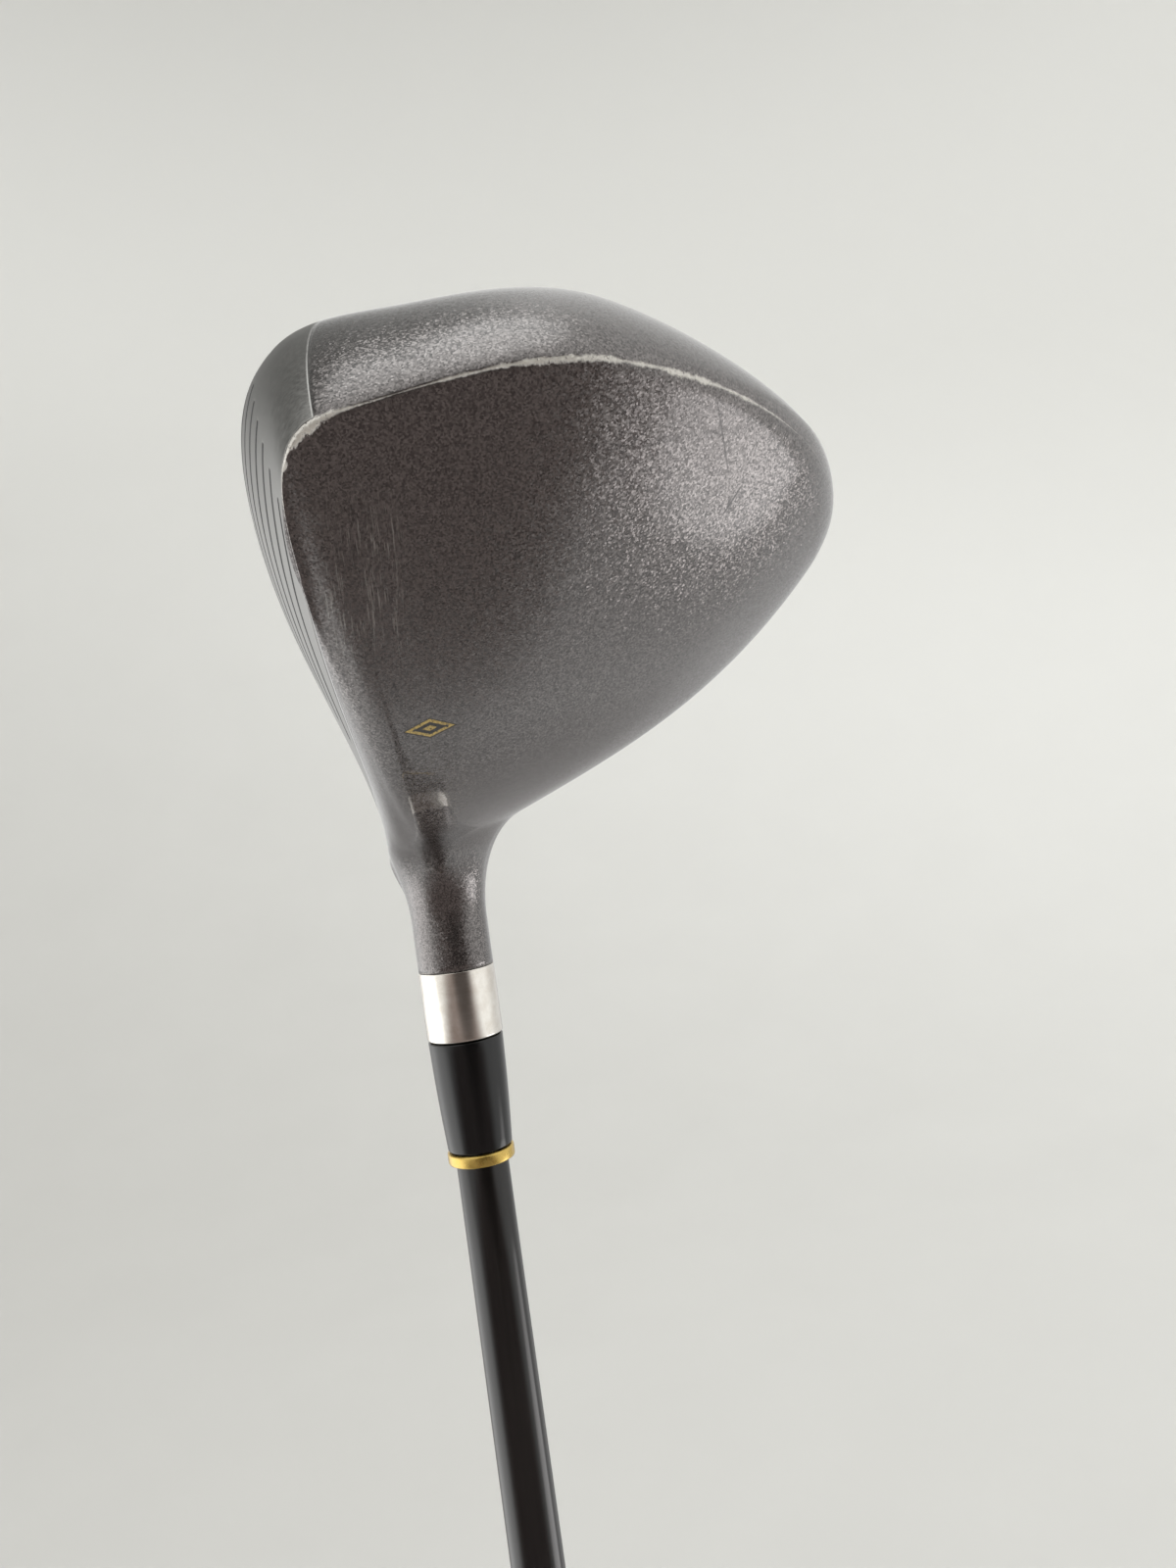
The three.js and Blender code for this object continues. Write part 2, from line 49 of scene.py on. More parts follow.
# ------------------------------------------------------------------ driving dimensions, in millimetres

CLUB_LENGTH = 1118.0
LIE = math.radians(56)
GAP = 0.3                            # clearance between bonded pieces

NECK_RADIUS = 6.65
NECK_FOOT = 42.0
FILLET_HOLD = (0.42, 0.3)
NECK_TOP = 50.0
COLLAR_TOP = 62.0
COLLAR_RADIUS = 6.5
HOSEL_BOTTOM = 15.0
HOSEL_RADIUS = 5.2
BORE_RADIUS = 4.85
SHELL_WALL = 0.9
FACE_WALL = 1.6
SOLE_WALL = 2.0
SKIN = 0.2                           # the fine skin lies this far inside the CAD facets

SHAFT_TIP = 26.0
TIP_RADIUS = 4.5
TIP_BORE = 2.5
TIP_PARALLEL = 100.0                 # the tip keeps its diameter up to this height
BUTT_RADIUS = 7.65
BUTT_BORE = 6.45
FERRULE_LENGTH = 18.6
FERRULE_RADIUS = (6.45, 5.55)
RING_HEIGHT = 2.1
RING_RADIUS = 5.75

GRIP_LENGTH = 270.0
GRIP_MOUTH, GRIP_BUTT = 8.8, 13.4
CAP_HEIGHT = 4.0
CAP_RADIUS = 12.4
VENT_RADIUS = 1.3

SOLE_POLE = np.array([36.0, -8.0, 0.0])
SOLE_FLAT = 0.45

# The foot of the neck's fillet: an oval in a sloping plane, reaching towards the toe, the face and the back.
FOOT_MIDDLE = -8.5
FOOT_TOE, FOOT_FACE, FOOT_BACK = 12.0, 9.0, 13.5
FOOT_HEIGHT = 32.7
FOOT_SLOPE = (0.7, 0.17)

# The skirt's two handles, as shares of its height: on the flat face, and on the round sides.
FACE_HOLD = np.array([0.6, 0.12])
ROUND_HOLD = np.array([0.4, 0.4])

# The way round the head is 20 units long and starts at the heel. Each section, as in the CAD: its place on
# the way, its turn about the neck, the crown's rim, the sole's edge, rise, fall, lean and flat.
LAP = 20
STATIONS = np.array([
    # heel
    [0, 180, -17.5, 0, 14, -6, -1, 3, -1.5, -1.5, 0.3, 0],
    [1, 135, -17, 5, 16, -5, 6, 3, -1.5, -1.5, 0.3, 0],
    # face
    [2, 100, -6.5, 8.5, 26, 0, 10.5, 2, -0.1, 0.1, 0.2, 0.7],
    [4, 55, 25, 10.5, 38, 24, 17.5, 1, 0.3, 0.15, 0.3, 1],
    [6, 32, 60, 14, 42.5, 52, 18.5, 1.5, 0.35, -0.05, 0.35, 1],
    [8, 20, 80.5, 14.5, 39, 65, 10, 4.5, 0.4, -0.3, 0.1, 0.2],
    # toe
    [10, 5, 86, 4.5, 37.5, 67, -3, 5, 0.4, -0.35, 0.2, 0],
    [12, -25, 87, -19, 35.5, 66, -20, 5.5, 0.4, -0.4, 0.25, 0],
    # back
    [14, -55, 69.5, -46, 29.5, 50, -36, 8, 0.3, -0.5, 0.35, 0],
    [15, -70, 48, -54.5, 25, 36, -38, 8.5, 0.15, -0.5, 0.5, 0],
    [17, -110, 10, -31, 20, 9, -21, 6, -0.1, -0.6, 0.6, 0],
    [19, -160, -16, -5.5, 15, -4.5, -5, 3.5, -1.4, -1.4, 0.4, 0],
], float)
FACE_FROM, FACE_TO = 2, 9
PER_UNIT = 12
SEAM = 0.004                         # half the width of the face seam, in units of the way round

# ------------------------------------------------------------------ the head's surface

UP_SHAFT = np.array([-math.cos(LIE), 0, math.sin(LIE)])
TOEWARD = np.array([math.sin(LIE), 0, math.cos(LIE)])
FORWARD = np.array([0, 1.0, 0])


def unit(v):
    return v / np.linalg.norm(v, axis=-1, keepdims=True)


def head_to_row(points):
    """Head frame in millimetres to the row's frame in metres."""
    x, y, z = np.moveaxis(np.asarray(points, float), -1, 0)
    across = x * math.sin(LIE) + z * math.cos(LIE)
    along = CLUB_LENGTH + x * math.cos(LIE) - z * math.sin(LIE)
    return np.stack([across, -y, along], -1) * MM


def bezier(a, b, c, d, t):
    return (1 - t) ** 3 * a + 3 * (1 - t) ** 2 * t * b + 3 * (1 - t) * t * t * c + t ** 3 * d


class Section:
    """The sections of the head at a list of places on the way round, by a smooth closed curve."""

    def __init__(self, places):
        self.places = np.asarray(places, float) % LAP
        index = np.searchsorted(STATIONS[:, 0], self.places, "right") - 1
        a, b, c, d = (self.station(index + k) for k in (-1, 0, 1, 2))
        length = c[:, 0:1] - b[:, 0:1]
        f = (self.places[:, None] - b[:, 0:1]) / length
        change = c - b
        leave = length * (c - a) / (c - a)[:, 0:1]
        arrive = length * (d - b) / (d - b)[:, 0:1]
        bend = (leave - change) * (1 - f) - (arrive - change) * f
        value = b + f * change + f * (1 - f) * bend
        self.turn = np.radians(value[:, 1:2])
        self.root = self.foot()
        self.edge = value[:, 2:5]
        self.sole = value[:, 5:8]
        self.rise = value[:, 8:9]
        self.fall = value[:, 9:10]
        self.lean = value[:, 10:11]
        flat = value[:, 11:12]
        height = self.edge[:, 2:3] - self.sole[:, 2:3]
        self.hold = height * (ROUND_HOLD + (FACE_HOLD - ROUND_HOLD) * flat)

    @staticmethod
    def station(index):
        lap = index // len(STATIONS)
        row = STATIONS[index % len(STATIONS)].copy()
        row[:, 0] += LAP * lap
        row[:, 1] -= 360 * lap
        return row

    def foot(self):
        side = np.where(np.sin(self.turn) > 0, FOOT_FACE, FOOT_BACK)
        x = FOOT_MIDDLE + FOOT_TOE * np.cos(self.turn)
        y = side * np.sin(self.turn)
        return np.concatenate([x, y, FOOT_HEIGHT + FOOT_SLOPE[0] * x + FOOT_SLOPE[1] * y], 1)

    def neck_ring(self, height):
        around = np.cos(self.turn) * TOEWARD + np.sin(self.turn) * FORWARD
        return around * NECK_RADIUS + height * UP_SHAFT

    def neck(self, t):
        return self.neck_ring(NECK_TOP + (NECK_FOOT - NECK_TOP) * t)

    def fillet(self, t):
        top = self.neck_ring(NECK_FOOT)
        reach = np.linalg.norm(self.root - top, axis=1, keepdims=True)
        plan = unit((self.edge - self.root) * [1, 1, 0])
        along = unit(np.concatenate([plan[:, :2], self.rise], 1))
        first = top - FILLET_HOLD[0] * reach * UP_SHAFT
        last = self.root - FILLET_HOLD[1] * reach * along
        return bezier(top, first, last, self.root, t)

    def crown(self, t):
        span = np.linalg.norm((self.edge - self.root)[:, :2], axis=1, keepdims=True)
        point = self.root + (self.edge - self.root) * t
        ease = t * t * (3 - 2 * t)
        bow = self.rise * t * (1 - t) ** 2 - self.fall * t * t * (1 - t)
        z = self.root[:, 2:3] + (self.edge - self.root)[:, 2:3] * ease + span * bow
        return np.concatenate([point[:, :2], z], 1)

    def skirt(self, t):
        out = unit((self.sole - SOLE_POLE) * [1, 1, 0])
        leave = unit(np.concatenate([out[:, :2] * self.lean, -np.ones_like(self.lean)], 1))
        arrive = unit(np.concatenate([-out[:, :2], np.full_like(self.lean, -0.12)], 1))
        first = self.edge + self.hold[:, 0:1] * leave
        last = self.sole - self.hold[:, 1:2] * arrive
        return bezier(self.edge, first, last, self.sole, t)

    def edge_radius(self):
        """How far from the crown's edge its rounding starts: tight round the face, wide at the back."""
        places = [0, 2, 3, 9, 10, 12, 13, 14.5, 16, 18, 20]
        radii = [3, 2.2, 0.5, 0.5, 0.9, 1.2, 2.0, 4.5, 5.0, 3.5, 3]
        return np.interp(self.places, places, radii)[:, None]


def skirt_length(section):
    points = np.stack([section.skirt(t) for t in np.linspace(0, 1, 17)], 1)
    return np.linalg.norm(np.diff(points, axis=1), axis=-1).sum(1, keepdims=True)


def crown_length(section):
    points = np.stack([section.crown(t) for t in np.linspace(0, 1, 17)], 1)
    return np.linalg.norm(np.diff(points, axis=1), axis=-1).sum(1, keepdims=True)


def spaced(start, stop, steps, ease=False):
    t = np.linspace(0, 1, steps + 1)
    if ease:
        t = 1 - (1 - t) ** 1.6
    return start + (stop - start) * t


# ------------------------------------------------------------------ meshes

def outward(vertices, faces):
    """The same quads, turned over if they look inwards."""
    a, b, c, d = (vertices[faces[:, k]] for k in range(4))
    volume = np.sum(a * np.cross(b, c)) + np.sum(a * np.cross(c, d))
    return faces if volume > 0 else faces[:, ::-1]


def make_piece(name, vertices, faces, node, attributes=None, metres=True):
    """A mesh object from arrays, which rides on the root and stands for a CAD node."""
    mesh = bpy.data.meshes.new(name)
    scale = 1.0 if metres else MM
    faces = outward(vertices, faces)
    mesh.from_pydata((np.asarray(vertices) * scale).tolist(), [], [list(map(int, f)) for f in faces])
    mesh.validate()
    for key, values in (attributes or {}).items():
        values = np.asarray(values, np.float32)
        kind = "FLOAT_VECTOR" if values.ndim == 2 else "FLOAT"
        layer = mesh.attributes.new(key, kind, "POINT")
        layer.data.foreach_set("vector" if values.ndim == 2 else "value", values.ravel())
    mesh.polygons.foreach_set("use_smooth", [True] * len(mesh.polygons))
    mesh.update()
    piece = bpy.data.objects.new(name, mesh)
    bpy.context.scene.collection.objects.link(piece)
    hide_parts(node)
    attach(piece, "root")
    return piece


def grid_normals(points, closed):
    """Outward normals of a grid of points, one column of it per section."""
    if closed:
        across = np.roll(points, -1, 0) - np.roll(points, 1, 0)
    else:
        across = np.gradient(points, axis=0)
    along = np.gradient(points, axis=1)
    return unit(np.cross(across, along) + 1e-12)


def wall_between(outside, inside, closed, keep):
    """Vertices and faces of a closed wall; keep[i, j] says which cells of the grid belong to it."""
    columns, rows = outside.shape[:2]
    vertices = np.concatenate([outside.reshape(-1, 3), inside.reshape(-1, 3)])
    index = np.arange(columns * rows).reshape(columns, rows)
    back = index + columns * rows
    after = np.roll(index, -1, 0)
    back_after = np.roll(back, -1, 0)
    cells = keep.copy()
    if not closed:
        cells = cells[:-1]
    before = np.roll(cells, 1, 0) if closed else np.vstack([np.zeros_like(cells[:1]), cells[:-1]])
    behind = np.roll(cells, -1, 0) if closed else np.vstack([cells[1:], np.zeros_like(cells[:1])])
    above = np.hstack([np.zeros_like(cells[:, :1]), cells[:, :-1]])
    below = np.hstack([cells[:, 1:], np.zeros_like(cells[:, :1])])
    n = len(cells)

    def quads(mask, a, b, c, d):
        return np.stack([a[mask], b[mask], c[mask], d[mask]], 1)

    a, b = index[:n, :-1], after[:n, :-1]
    c, d = after[:n, 1:], index[:n, 1:]
    a2, b2 = back[:n, :-1], back_after[:n, :-1]
    c2, d2 = back_after[:n, 1:], back[:n, 1:]
    faces = np.concatenate([
        quads(cells, a, b, c, d),
        quads(cells, a2, d2, c2, b2),
        quads(cells & ~above, b, a, a2, b2),
        quads(cells & ~below, d, c, c2, d2),
        quads(cells & ~before, a, d, d2, a2),
        quads(cells & ~behind, c, b, b2, c2),
    ])
    used, packed = np.unique(faces, return_inverse=True)
    return vertices[used], packed.reshape(faces.shape), used


def turned(outline, sides=96):
    """Vertices and faces of a closed outline of (radius, height) turned about +Z."""
    outline = np.asarray(outline, float)
    following = np.roll(outline, -1, 0)
    area = np.sum(outline[:, 0] * following[:, 1] - following[:, 0] * outline[:, 1])
    if area < 0:
        outline = outline[::-1]
    angle = np.arange(sides) * 2 * math.pi / sides
    radius, height = outline[:, 0], outline[:, 1]
    ring = np.stack([np.outer(np.cos(angle), radius), np.outer(np.sin(angle), radius),
                     np.tile(height, (sides, 1))], -1)
    index = np.arange(sides * len(outline)).reshape(sides, -1)
    after = np.roll(index, -1, 0)
    faces = np.stack([index, after, np.roll(after, -1, 1), np.roll(index, -1, 1)], -1)
    return ring.reshape(-1, 3), faces.reshape(-1, 4)


def rounded(outline, radius, steps=4):
    """A closed outline with each corner replaced by a small arc-like curve of that reach."""
    outline = np.asarray(outline, float)
    result = []
    for before, corner, behind in zip(np.roll(outline, 1, 0), outline, np.roll(outline, -1, 0)):
        first, second = before - corner, behind - corner
        reach = min(radius, 0.4 * np.linalg.norm(first), 0.4 * np.linalg.norm(second))
        start = corner + unit(first) * reach
        stop = corner + unit(second) * reach
        for t in np.linspace(0, 1, steps + 1):
            result.append((1 - t) ** 2 * start + 2 * t * (1 - t) * corner + t * t * stop)
    return np.array(result)


def from_butt(height):
    return CLUB_LENGTH - height


def shaft_radius(z):
    taper = np.maximum(0, (from_butt(z) - TIP_PARALLEL) / (CLUB_LENGTH - TIP_PARALLEL))
    return TIP_RADIUS + (BUTT_RADIUS - TIP_RADIUS) * taper


# ------------------------------------------------------------------ the head's pieces

SKIRT_END = 0.99                     # the skirt stops short of the sole plate
EDGE_STEPS = 8                       # rows in the rounding of the crown's edge


def head_shell():
    """Painted crown, neck and skirt, with the crown's edge rounded over and the face left open."""
    places = np.arange(LAP * PER_UNIT) / PER_UNIT
    places[FACE_FROM * PER_UNIT] -= SEAM
    places[FACE_TO * PER_UNIT] += SEAM
    section = Section(places)
    radius = section.edge_radius()
    crown_end = 1 - radius / crown_length(section)
    skirt_start = radius / skirt_length(section)
    rows = [section.neck(t) for t in spaced(0, 1, 8)[:-1]]
    rows += [section.fillet(t) for t in spaced(0, 1, 16)[:-1]]
    rows += [section.crown(crown_end * t) for t in spaced(0, 1, 46, ease=True)[:-1]]
    start, stop = section.crown(crown_end), section.skirt(skirt_start)
    corner_row = len(rows) + EDGE_STEPS // 2
    for t in spaced(0, 1, EDGE_STEPS)[:-1]:
        rows.append((1 - t) ** 2 * start + 2 * t * (1 - t) * section.edge + t * t * stop)
    face_row = len(rows)
    for t in spaced(0, 1, 30):
        rows.append(section.skirt(skirt_start + (SKIRT_END - skirt_start) * t))
    surface = np.stack(rows, 1)
    normals = grid_normals(surface, True)
    outside = surface - normals * SKIN
    inside = surface - normals * SHELL_WALL
    keep = np.ones((len(places), len(rows) - 1), bool)
    keep[FACE_FROM * PER_UNIT:FACE_TO * PER_UNIT, face_row:] = False
    vertices, faces, used = wall_between(outside, inside, True, keep)
    steps = np.linalg.norm(np.diff(outside, axis=1), axis=-1)
    reach = np.concatenate([np.zeros((len(places), 1)), np.cumsum(steps, 1)], 1)
    rim = reach[:, corner_row:corner_row + 1] - reach
    attributes = {
        "head": vertices,
        "rim": np.tile(rim.ravel(), 2)[used],
        "place": np.tile(np.repeat(places, len(rows)), 2)[used],
    }
    return make_piece("crown_and_skirt", head_to_row(vertices), faces, "body_shell",
                      attributes=attributes)


# Score lines: the height of the top one, their spacing, and their section. They run to SCORE_TOE at
# most, the top one starts at SCORE_HEEL, and the ends run out over a short length.
SCORE_TOP, SCORE_PITCH, SCORE_COUNT = 36.0, 3.9, 7
SCORE_HALF_WIDTH, SCORE_DEPTH = 0.42, 0.32
SCORE_TOE, SCORE_HEEL = 74.5, 27.0
SCORE_RUN_OUT = 0.5
ROWS_ABOVE = 4                       # rows of the face over the first score level
ROWS_BELOW = 24                      # and under the last one
ROWS_PER_SCORE = 7


def score_levels():
    """Heights of the face's rows: each groove has an outer line, a lip and a bottom corner on each side."""
    levels = [SCORE_TOP + 2]
    for k in range(SCORE_COUNT):
        middle = SCORE_TOP - k * SCORE_PITCH
        for side in (1, -1):
            offsets = [SCORE_HALF_WIDTH + 0.05, SCORE_HALF_WIDTH, 0.6 * SCORE_HALF_WIDTH]
            levels += [middle + side * offset for offset in offsets[::side]]
        levels += [middle - 0.5 * SCORE_PITCH]
    return np.array(levels)


def score_depth(x, k):
    """How deep groove k is at x: full between its ends and nothing beyond them."""
    toe_end = SCORE_TOE - 0.16 * (k - 2.5) ** 2
    heel_end = SCORE_HEEL - 4.5 * min(k, 3)
    from_toe = np.clip((toe_end - x) / SCORE_RUN_OUT, 0, 1)
    from_heel = np.clip((x - heel_end) / SCORE_RUN_OUT, 0, 1)
    return SCORE_DEPTH * from_toe * from_heel


def face_column(column, samples, levels):
    """One column of the face: its points, how far each is sunk, and how much paint fill it carries."""
    low = levels[-1]
    room = np.clip((column[0, 2] - low) / (levels[0] + 0.6 - low), 0, 1)
    heights = low + (levels - low) * room
    upper = np.interp(-heights, -np.minimum.accumulate(column[:, 2]), samples)
    above = np.linspace(0, upper[0], ROWS_ABOVE + 1)[:-1]
    below = upper[-1] + (1 - upper[-1]) * np.linspace(0, 1, ROWS_BELOW + 1)[1:]
    t = np.concatenate([above, upper, below])
    points = np.stack([np.interp(t, samples, column[:, axis]) for axis in range(3)], 1)
    sunk = np.zeros(len(t))
    filled = np.zeros(len(t))
    if room < 1:
        return points, sunk, filled
    for groove in range(SCORE_COUNT):
        lip = ROWS_ABOVE + 2 + groove * ROWS_PER_SCORE
        depth = score_depth(points[lip, 0], groove)
        sunk[lip + 1:lip + 3] = depth
        filled[lip:lip + 4] = depth / SCORE_DEPTH
    return points, sunk, filled


def face_back(places, rows):
    """The face's inner side, a little smaller than its front all round."""
    margin = 0.09
    section = Section(np.clip(places, FACE_FROM + margin, FACE_TO - margin))
    back = np.stack([section.skirt(t) for t in np.linspace(margin, 0.95, rows)], 1)
    return back - grid_normals_safe(back) * FACE_WALL


def face_plate():
    """Bare steel face, wrapped round the toe as far as its seam, with straight score lines cut in it."""
    count = (FACE_TO - FACE_FROM) * PER_UNIT * 2
    places = np.linspace(FACE_FROM + SEAM, FACE_TO - SEAM, count + 1)
    section = Section(places)
    start = section.edge_radius() / skirt_length(section) + 0.0006
    samples = np.linspace(0, 1, 400)
    path = np.stack([section.skirt(start + (SKIRT_END - start) * t) for t in samples], 1)
    levels = score_levels()
    columns = [face_column(column, samples, levels) for column in path]
    smooth, depth, filled = (np.stack(part) for part in zip(*columns))
    outside = smooth - grid_normals(smooth, False) * (SKIN + depth[..., None])
    inside = face_back(places, outside.shape[1])
    keep = np.ones((len(places), outside.shape[1] - 1), bool)
    vertices, faces, used = wall_between(outside, inside, False, keep)
    rim = np.zeros(depth.shape)
    rim[:, 1:] = np.cumsum(np.linalg.norm(np.diff(smooth, axis=1), axis=-1), 1)
    attributes = {
        "head": vertices,
        "groove": np.concatenate([filled.ravel(), np.zeros(filled.size)])[used],
        "rim": np.tile(rim.ravel(), 2)[used],
        "place": np.tile(np.repeat(places, depth.shape[1]), 2)[used],
    }
    return make_piece("face_plate", head_to_row(vertices), faces, "face_cup",
                      attributes=attributes)


def grid_normals_safe(points):
    """Normals of an open grid whose end columns may repeat."""
    normals = grid_normals(points, False)
    weak = np.linalg.norm(np.gradient(points, axis=0), axis=-1) < 1e-6
    for column in range(len(points)):
        if weak[column].all():
            normals[column] = normals[1 if column < len(points) / 2 else -2]
    return normals


SOLE_HOLE = 6.3
BADGE_RADIUS, BADGE_FROM, BADGE_TO = 6.0, 0.1, 0.8
PORT_PLACE, PORT_RADIUS = (12.0, -9.0), 3.0
ON_AXIS = 0.0001                     # a turned outline that closes on its axis keeps this tiny radius


def sole_cover():
    """Brushed sole plate with its camber and its flat, open in the middle for the badge."""
    places = np.arange(LAP * PER_UNIT) / PER_UNIT
    section = Section(places)
    span = np.linalg.norm((section.sole - SOLE_POLE)[:, :2], axis=1, keepdims=True)
    hole = SOLE_HOLE / span

    def ring(t):
        reach = 1 - t + hole * t
        curved = np.maximum(0, (reach - SOLE_FLAT) / (1 - SOLE_FLAT))
        point = SOLE_POLE + (section.sole - SOLE_POLE) * reach
        return np.concatenate([point[:, :2], section.sole[:, 2:3] * curved ** 2], 1)

    steps = np.concatenate([spaced(0.012, 0.05, 5), spaced(0.07, 1.0, 30)])
    rings = np.stack([ring(t) for t in steps], 1)
    lip = np.clip((steps - steps[0]) / 0.02, 0, 1)
    rings[..., 2] += (1 - np.sqrt(lip * (2 - lip))) * 0.3
    top = np.stack([ring(t) for t in np.linspace(0.16, 1.0, len(steps))], 1)
    top[..., 2] += SOLE_WALL
    keep = np.ones((len(places), len(steps) - 1), bool)
    vertices, faces, _ = wall_between(rings, top, True, keep)
    sole = make_piece("sole_cover", head_to_row(vertices), faces, "sole_plate",
                      attributes={"head": vertices})
    drill(sole, PORT_PLACE, PORT_RADIUS + 0.25)
    return sole


def drill(piece, place, radius):
    """A round hole through a piece of the head, along the head's vertical."""
    low, high = -6, 12
    vertices, faces = turned([(ON_AXIS, low), (radius, low), (radius, high), (ON_AXIS, high)], 48)
    mesh = bpy.data.meshes.new("drill")
    mesh.from_pydata(head_to_row(vertices + [place[0], place[1], 0]).tolist(), [], faces.tolist())
    bit = bpy.data.objects.new("drill", mesh)
    bpy.context.scene.collection.objects.link(bit)
    cut = piece.modifiers.new("drill", "BOOLEAN")
    cut.operation = "DIFFERENCE"
    cut.solver = "EXACT"
    cut.object = bit
    shape = bpy.data.meshes.new_from_object(piece.evaluated_get(bpy.context.evaluated_depsgraph_get()))
    piece.modifiers.remove(cut)
    piece.data = shape
    bpy.data.objects.remove(bit)


def head_lathe(name, outline, middle, node):
    """A turned piece whose axis is the head's vertical, with its middle at a place in the head."""
    vertices, faces = turned(outline)
    vertices = vertices + [middle[0], middle[1], 0]
    return make_piece(name, head_to_row(vertices), faces, node, attributes={"head": vertices})


def badge():
    """A plain round badge: a raised rim, a step and a shallow domed middle."""
    relief = [(ON_AXIS, 0.12), (2.2, 0.16), (2.5, 0.42), (3.9, 0.42), (4.1, 0.14), (4.4, 0.1),
              (4.6, 0.36), (5.1, 0.36), (5.3, 0.04), (5.85, 0), (BADGE_RADIUS, 0.15)]
    outline = [(radius, BADGE_FROM + depth) for radius, depth in relief]
    outline += [(BADGE_RADIUS, BADGE_TO), (ON_AXIS, BADGE_TO)]
    return head_lathe("plain_badge", outline, SOLE_POLE, "sole_badge")


def lathe_piece(name, outline, node, corner, sides=96):
    """A turned piece on the shaft axis, with its corners rounded."""
    vertices, faces = turned(rounded(outline, corner), sides)
    return make_piece(name, vertices, faces, node, metres=False)


def collar():
    """The bare end of the hosel above the paint, polished, and the tube that goes down into the head."""
    shoulder = NECK_TOP + 0.08
    outline = [
        (BORE_RADIUS, from_butt(COLLAR_TOP)),
        (BORE_RADIUS, from_butt(HOSEL_BOTTOM)),
        (HOSEL_RADIUS, from_butt(HOSEL_BOTTOM)),
        (HOSEL_RADIUS, from_butt(shoulder)),
        (COLLAR_RADIUS, from_butt(shoulder)),
        (COLLAR_RADIUS, from_butt(COLLAR_TOP - 0.4)),
        (COLLAR_RADIUS - 0.35, from_butt(COLLAR_TOP)),
    ]
    return lathe_piece("hosel_collar", outline, "hosel", corner=0.12)


def ferrule():
    """A gloss black sleeve that narrows from the collar to the shaft in a very slight curve."""
    foot, top = COLLAR_TOP + 0.1, COLLAR_TOP + GAP + FERRULE_LENGTH
    bore = TIP_RADIUS + 0.12
    outline = [(bore, from_butt(top)), (bore, from_butt(foot))]
    for t in np.linspace(0, 1, 12):
        bulge = 0.12 * math.sin(math.pi * t)
        radius = FERRULE_RADIUS[0] + (FERRULE_RADIUS[1] - FERRULE_RADIUS[0]) * t + bulge - 0.02
        outline.append((radius, from_butt(foot + (top - foot) * t)))
    return lathe_piece("ferrule_sleeve", outline, "ferrule", corner=0.2)


def gold_ring():
    """The round-edged trim ring between the ferrule and the shaft."""
    low = COLLAR_TOP + 2 * GAP + FERRULE_LENGTH
    high = low + RING_HEIGHT
    bore = TIP_RADIUS + 0.1
    outline = [
        (bore, from_butt(low)),
        (RING_RADIUS, from_butt(low)),
        (RING_RADIUS, from_butt(high)),
        (bore, from_butt(high)),
    ]
    return lathe_piece("trim_ring", outline, "ferrule_ring", corner=0.6)


def shaft_tube():
    """The graphite tube, tapered from the butt to its parallel tip."""
    butt, tip = CAP_HEIGHT + GAP, from_butt(SHAFT_TIP)
    heights = np.concatenate([np.linspace(butt, from_butt(TIP_PARALLEL), 60), [tip]])
    outline = [(shaft_radius(z) - 0.01, z) for z in heights]
    outline += [(TIP_BORE, tip), (BUTT_BORE, butt)]
    vertices, faces = turned(outline)
    return make_piece("graphite_shaft", vertices, faces, "shaft", metres=False)


GROOVE_TURNS, GROOVE_PITCH = 9, 14.0
GROOVE_DEPTH, BAND_DEPTH = 0.28, 0.3
GRIP_PATTERN = (26, 246)             # the crossing grooves run between these heights
GRIP_BANDS = (20, 23.5, 249, 252.5, 256)


def grip_grooves(z, angle):
    """How deep the grip is cut: crossing grooves in its middle and plain bands at both ends."""
    pitch = 2 * math.pi / GROOVE_PITCH
    one = np.cos(GROOVE_TURNS * angle[:, None] + pitch * z[None])
    other = np.cos(GROOVE_TURNS * angle[:, None] - pitch * z[None])
    cross = np.maximum(np.clip((one - 0.8) / 0.15, 0, 1), np.clip((other - 0.8) / 0.15, 0, 1))
    low, high = GRIP_PATTERN
    zone = np.clip((z - low) / 0.8, 0, 1) * np.clip((high - z) / 0.8, 0, 1)
    band = np.zeros(len(z))
    for middle in GRIP_BANDS:
        band = np.maximum(band, np.clip(1.3 - np.abs(z - middle) / 0.6, 0, 1))
    return GROOVE_DEPTH * cross * zone[None] + BAND_DEPTH * band[None]


def grip():
    """The rubber sleeve, which swells towards the butt and has rounded ends."""
    sides, rows = 180, 520
    start, stop = CAP_HEIGHT + GAP, GRIP_LENGTH
    z = np.linspace(start, stop, rows)
    radius = GRIP_BUTT + (GRIP_MOUTH - GRIP_BUTT) * (z / GRIP_LENGTH) ** 0.8 - 0.02
    end = np.minimum(z - start, stop - z)
    radius = radius - 0.9 * (1 - np.clip(end / 1.2, 0, 1)) ** 2
    angle = np.arange(sides) * 2 * math.pi / sides
    groove = grip_grooves(z, angle)
    depth = radius[None] - groove
    heights = np.tile(z, (sides, 1))
    outside = np.stack([np.cos(angle)[:, None] * depth, np.sin(angle)[:, None] * depth, heights], -1)
    bore = shaft_radius(z) + GAP
    inside = np.stack([np.outer(np.cos(angle), bore), np.outer(np.sin(angle), bore), heights], -1)
    keep = np.ones((sides, rows - 1), bool)
    vertices, faces, used = wall_between(outside, inside, True, keep)
    sunk = np.concatenate([groove.ravel(), np.zeros(groove.size)])[used] / GROOVE_DEPTH
    return make_piece("grip_rubber_sleeve", vertices, faces, "grip_sleeve",
                      attributes={"groove": sunk}, metres=False)


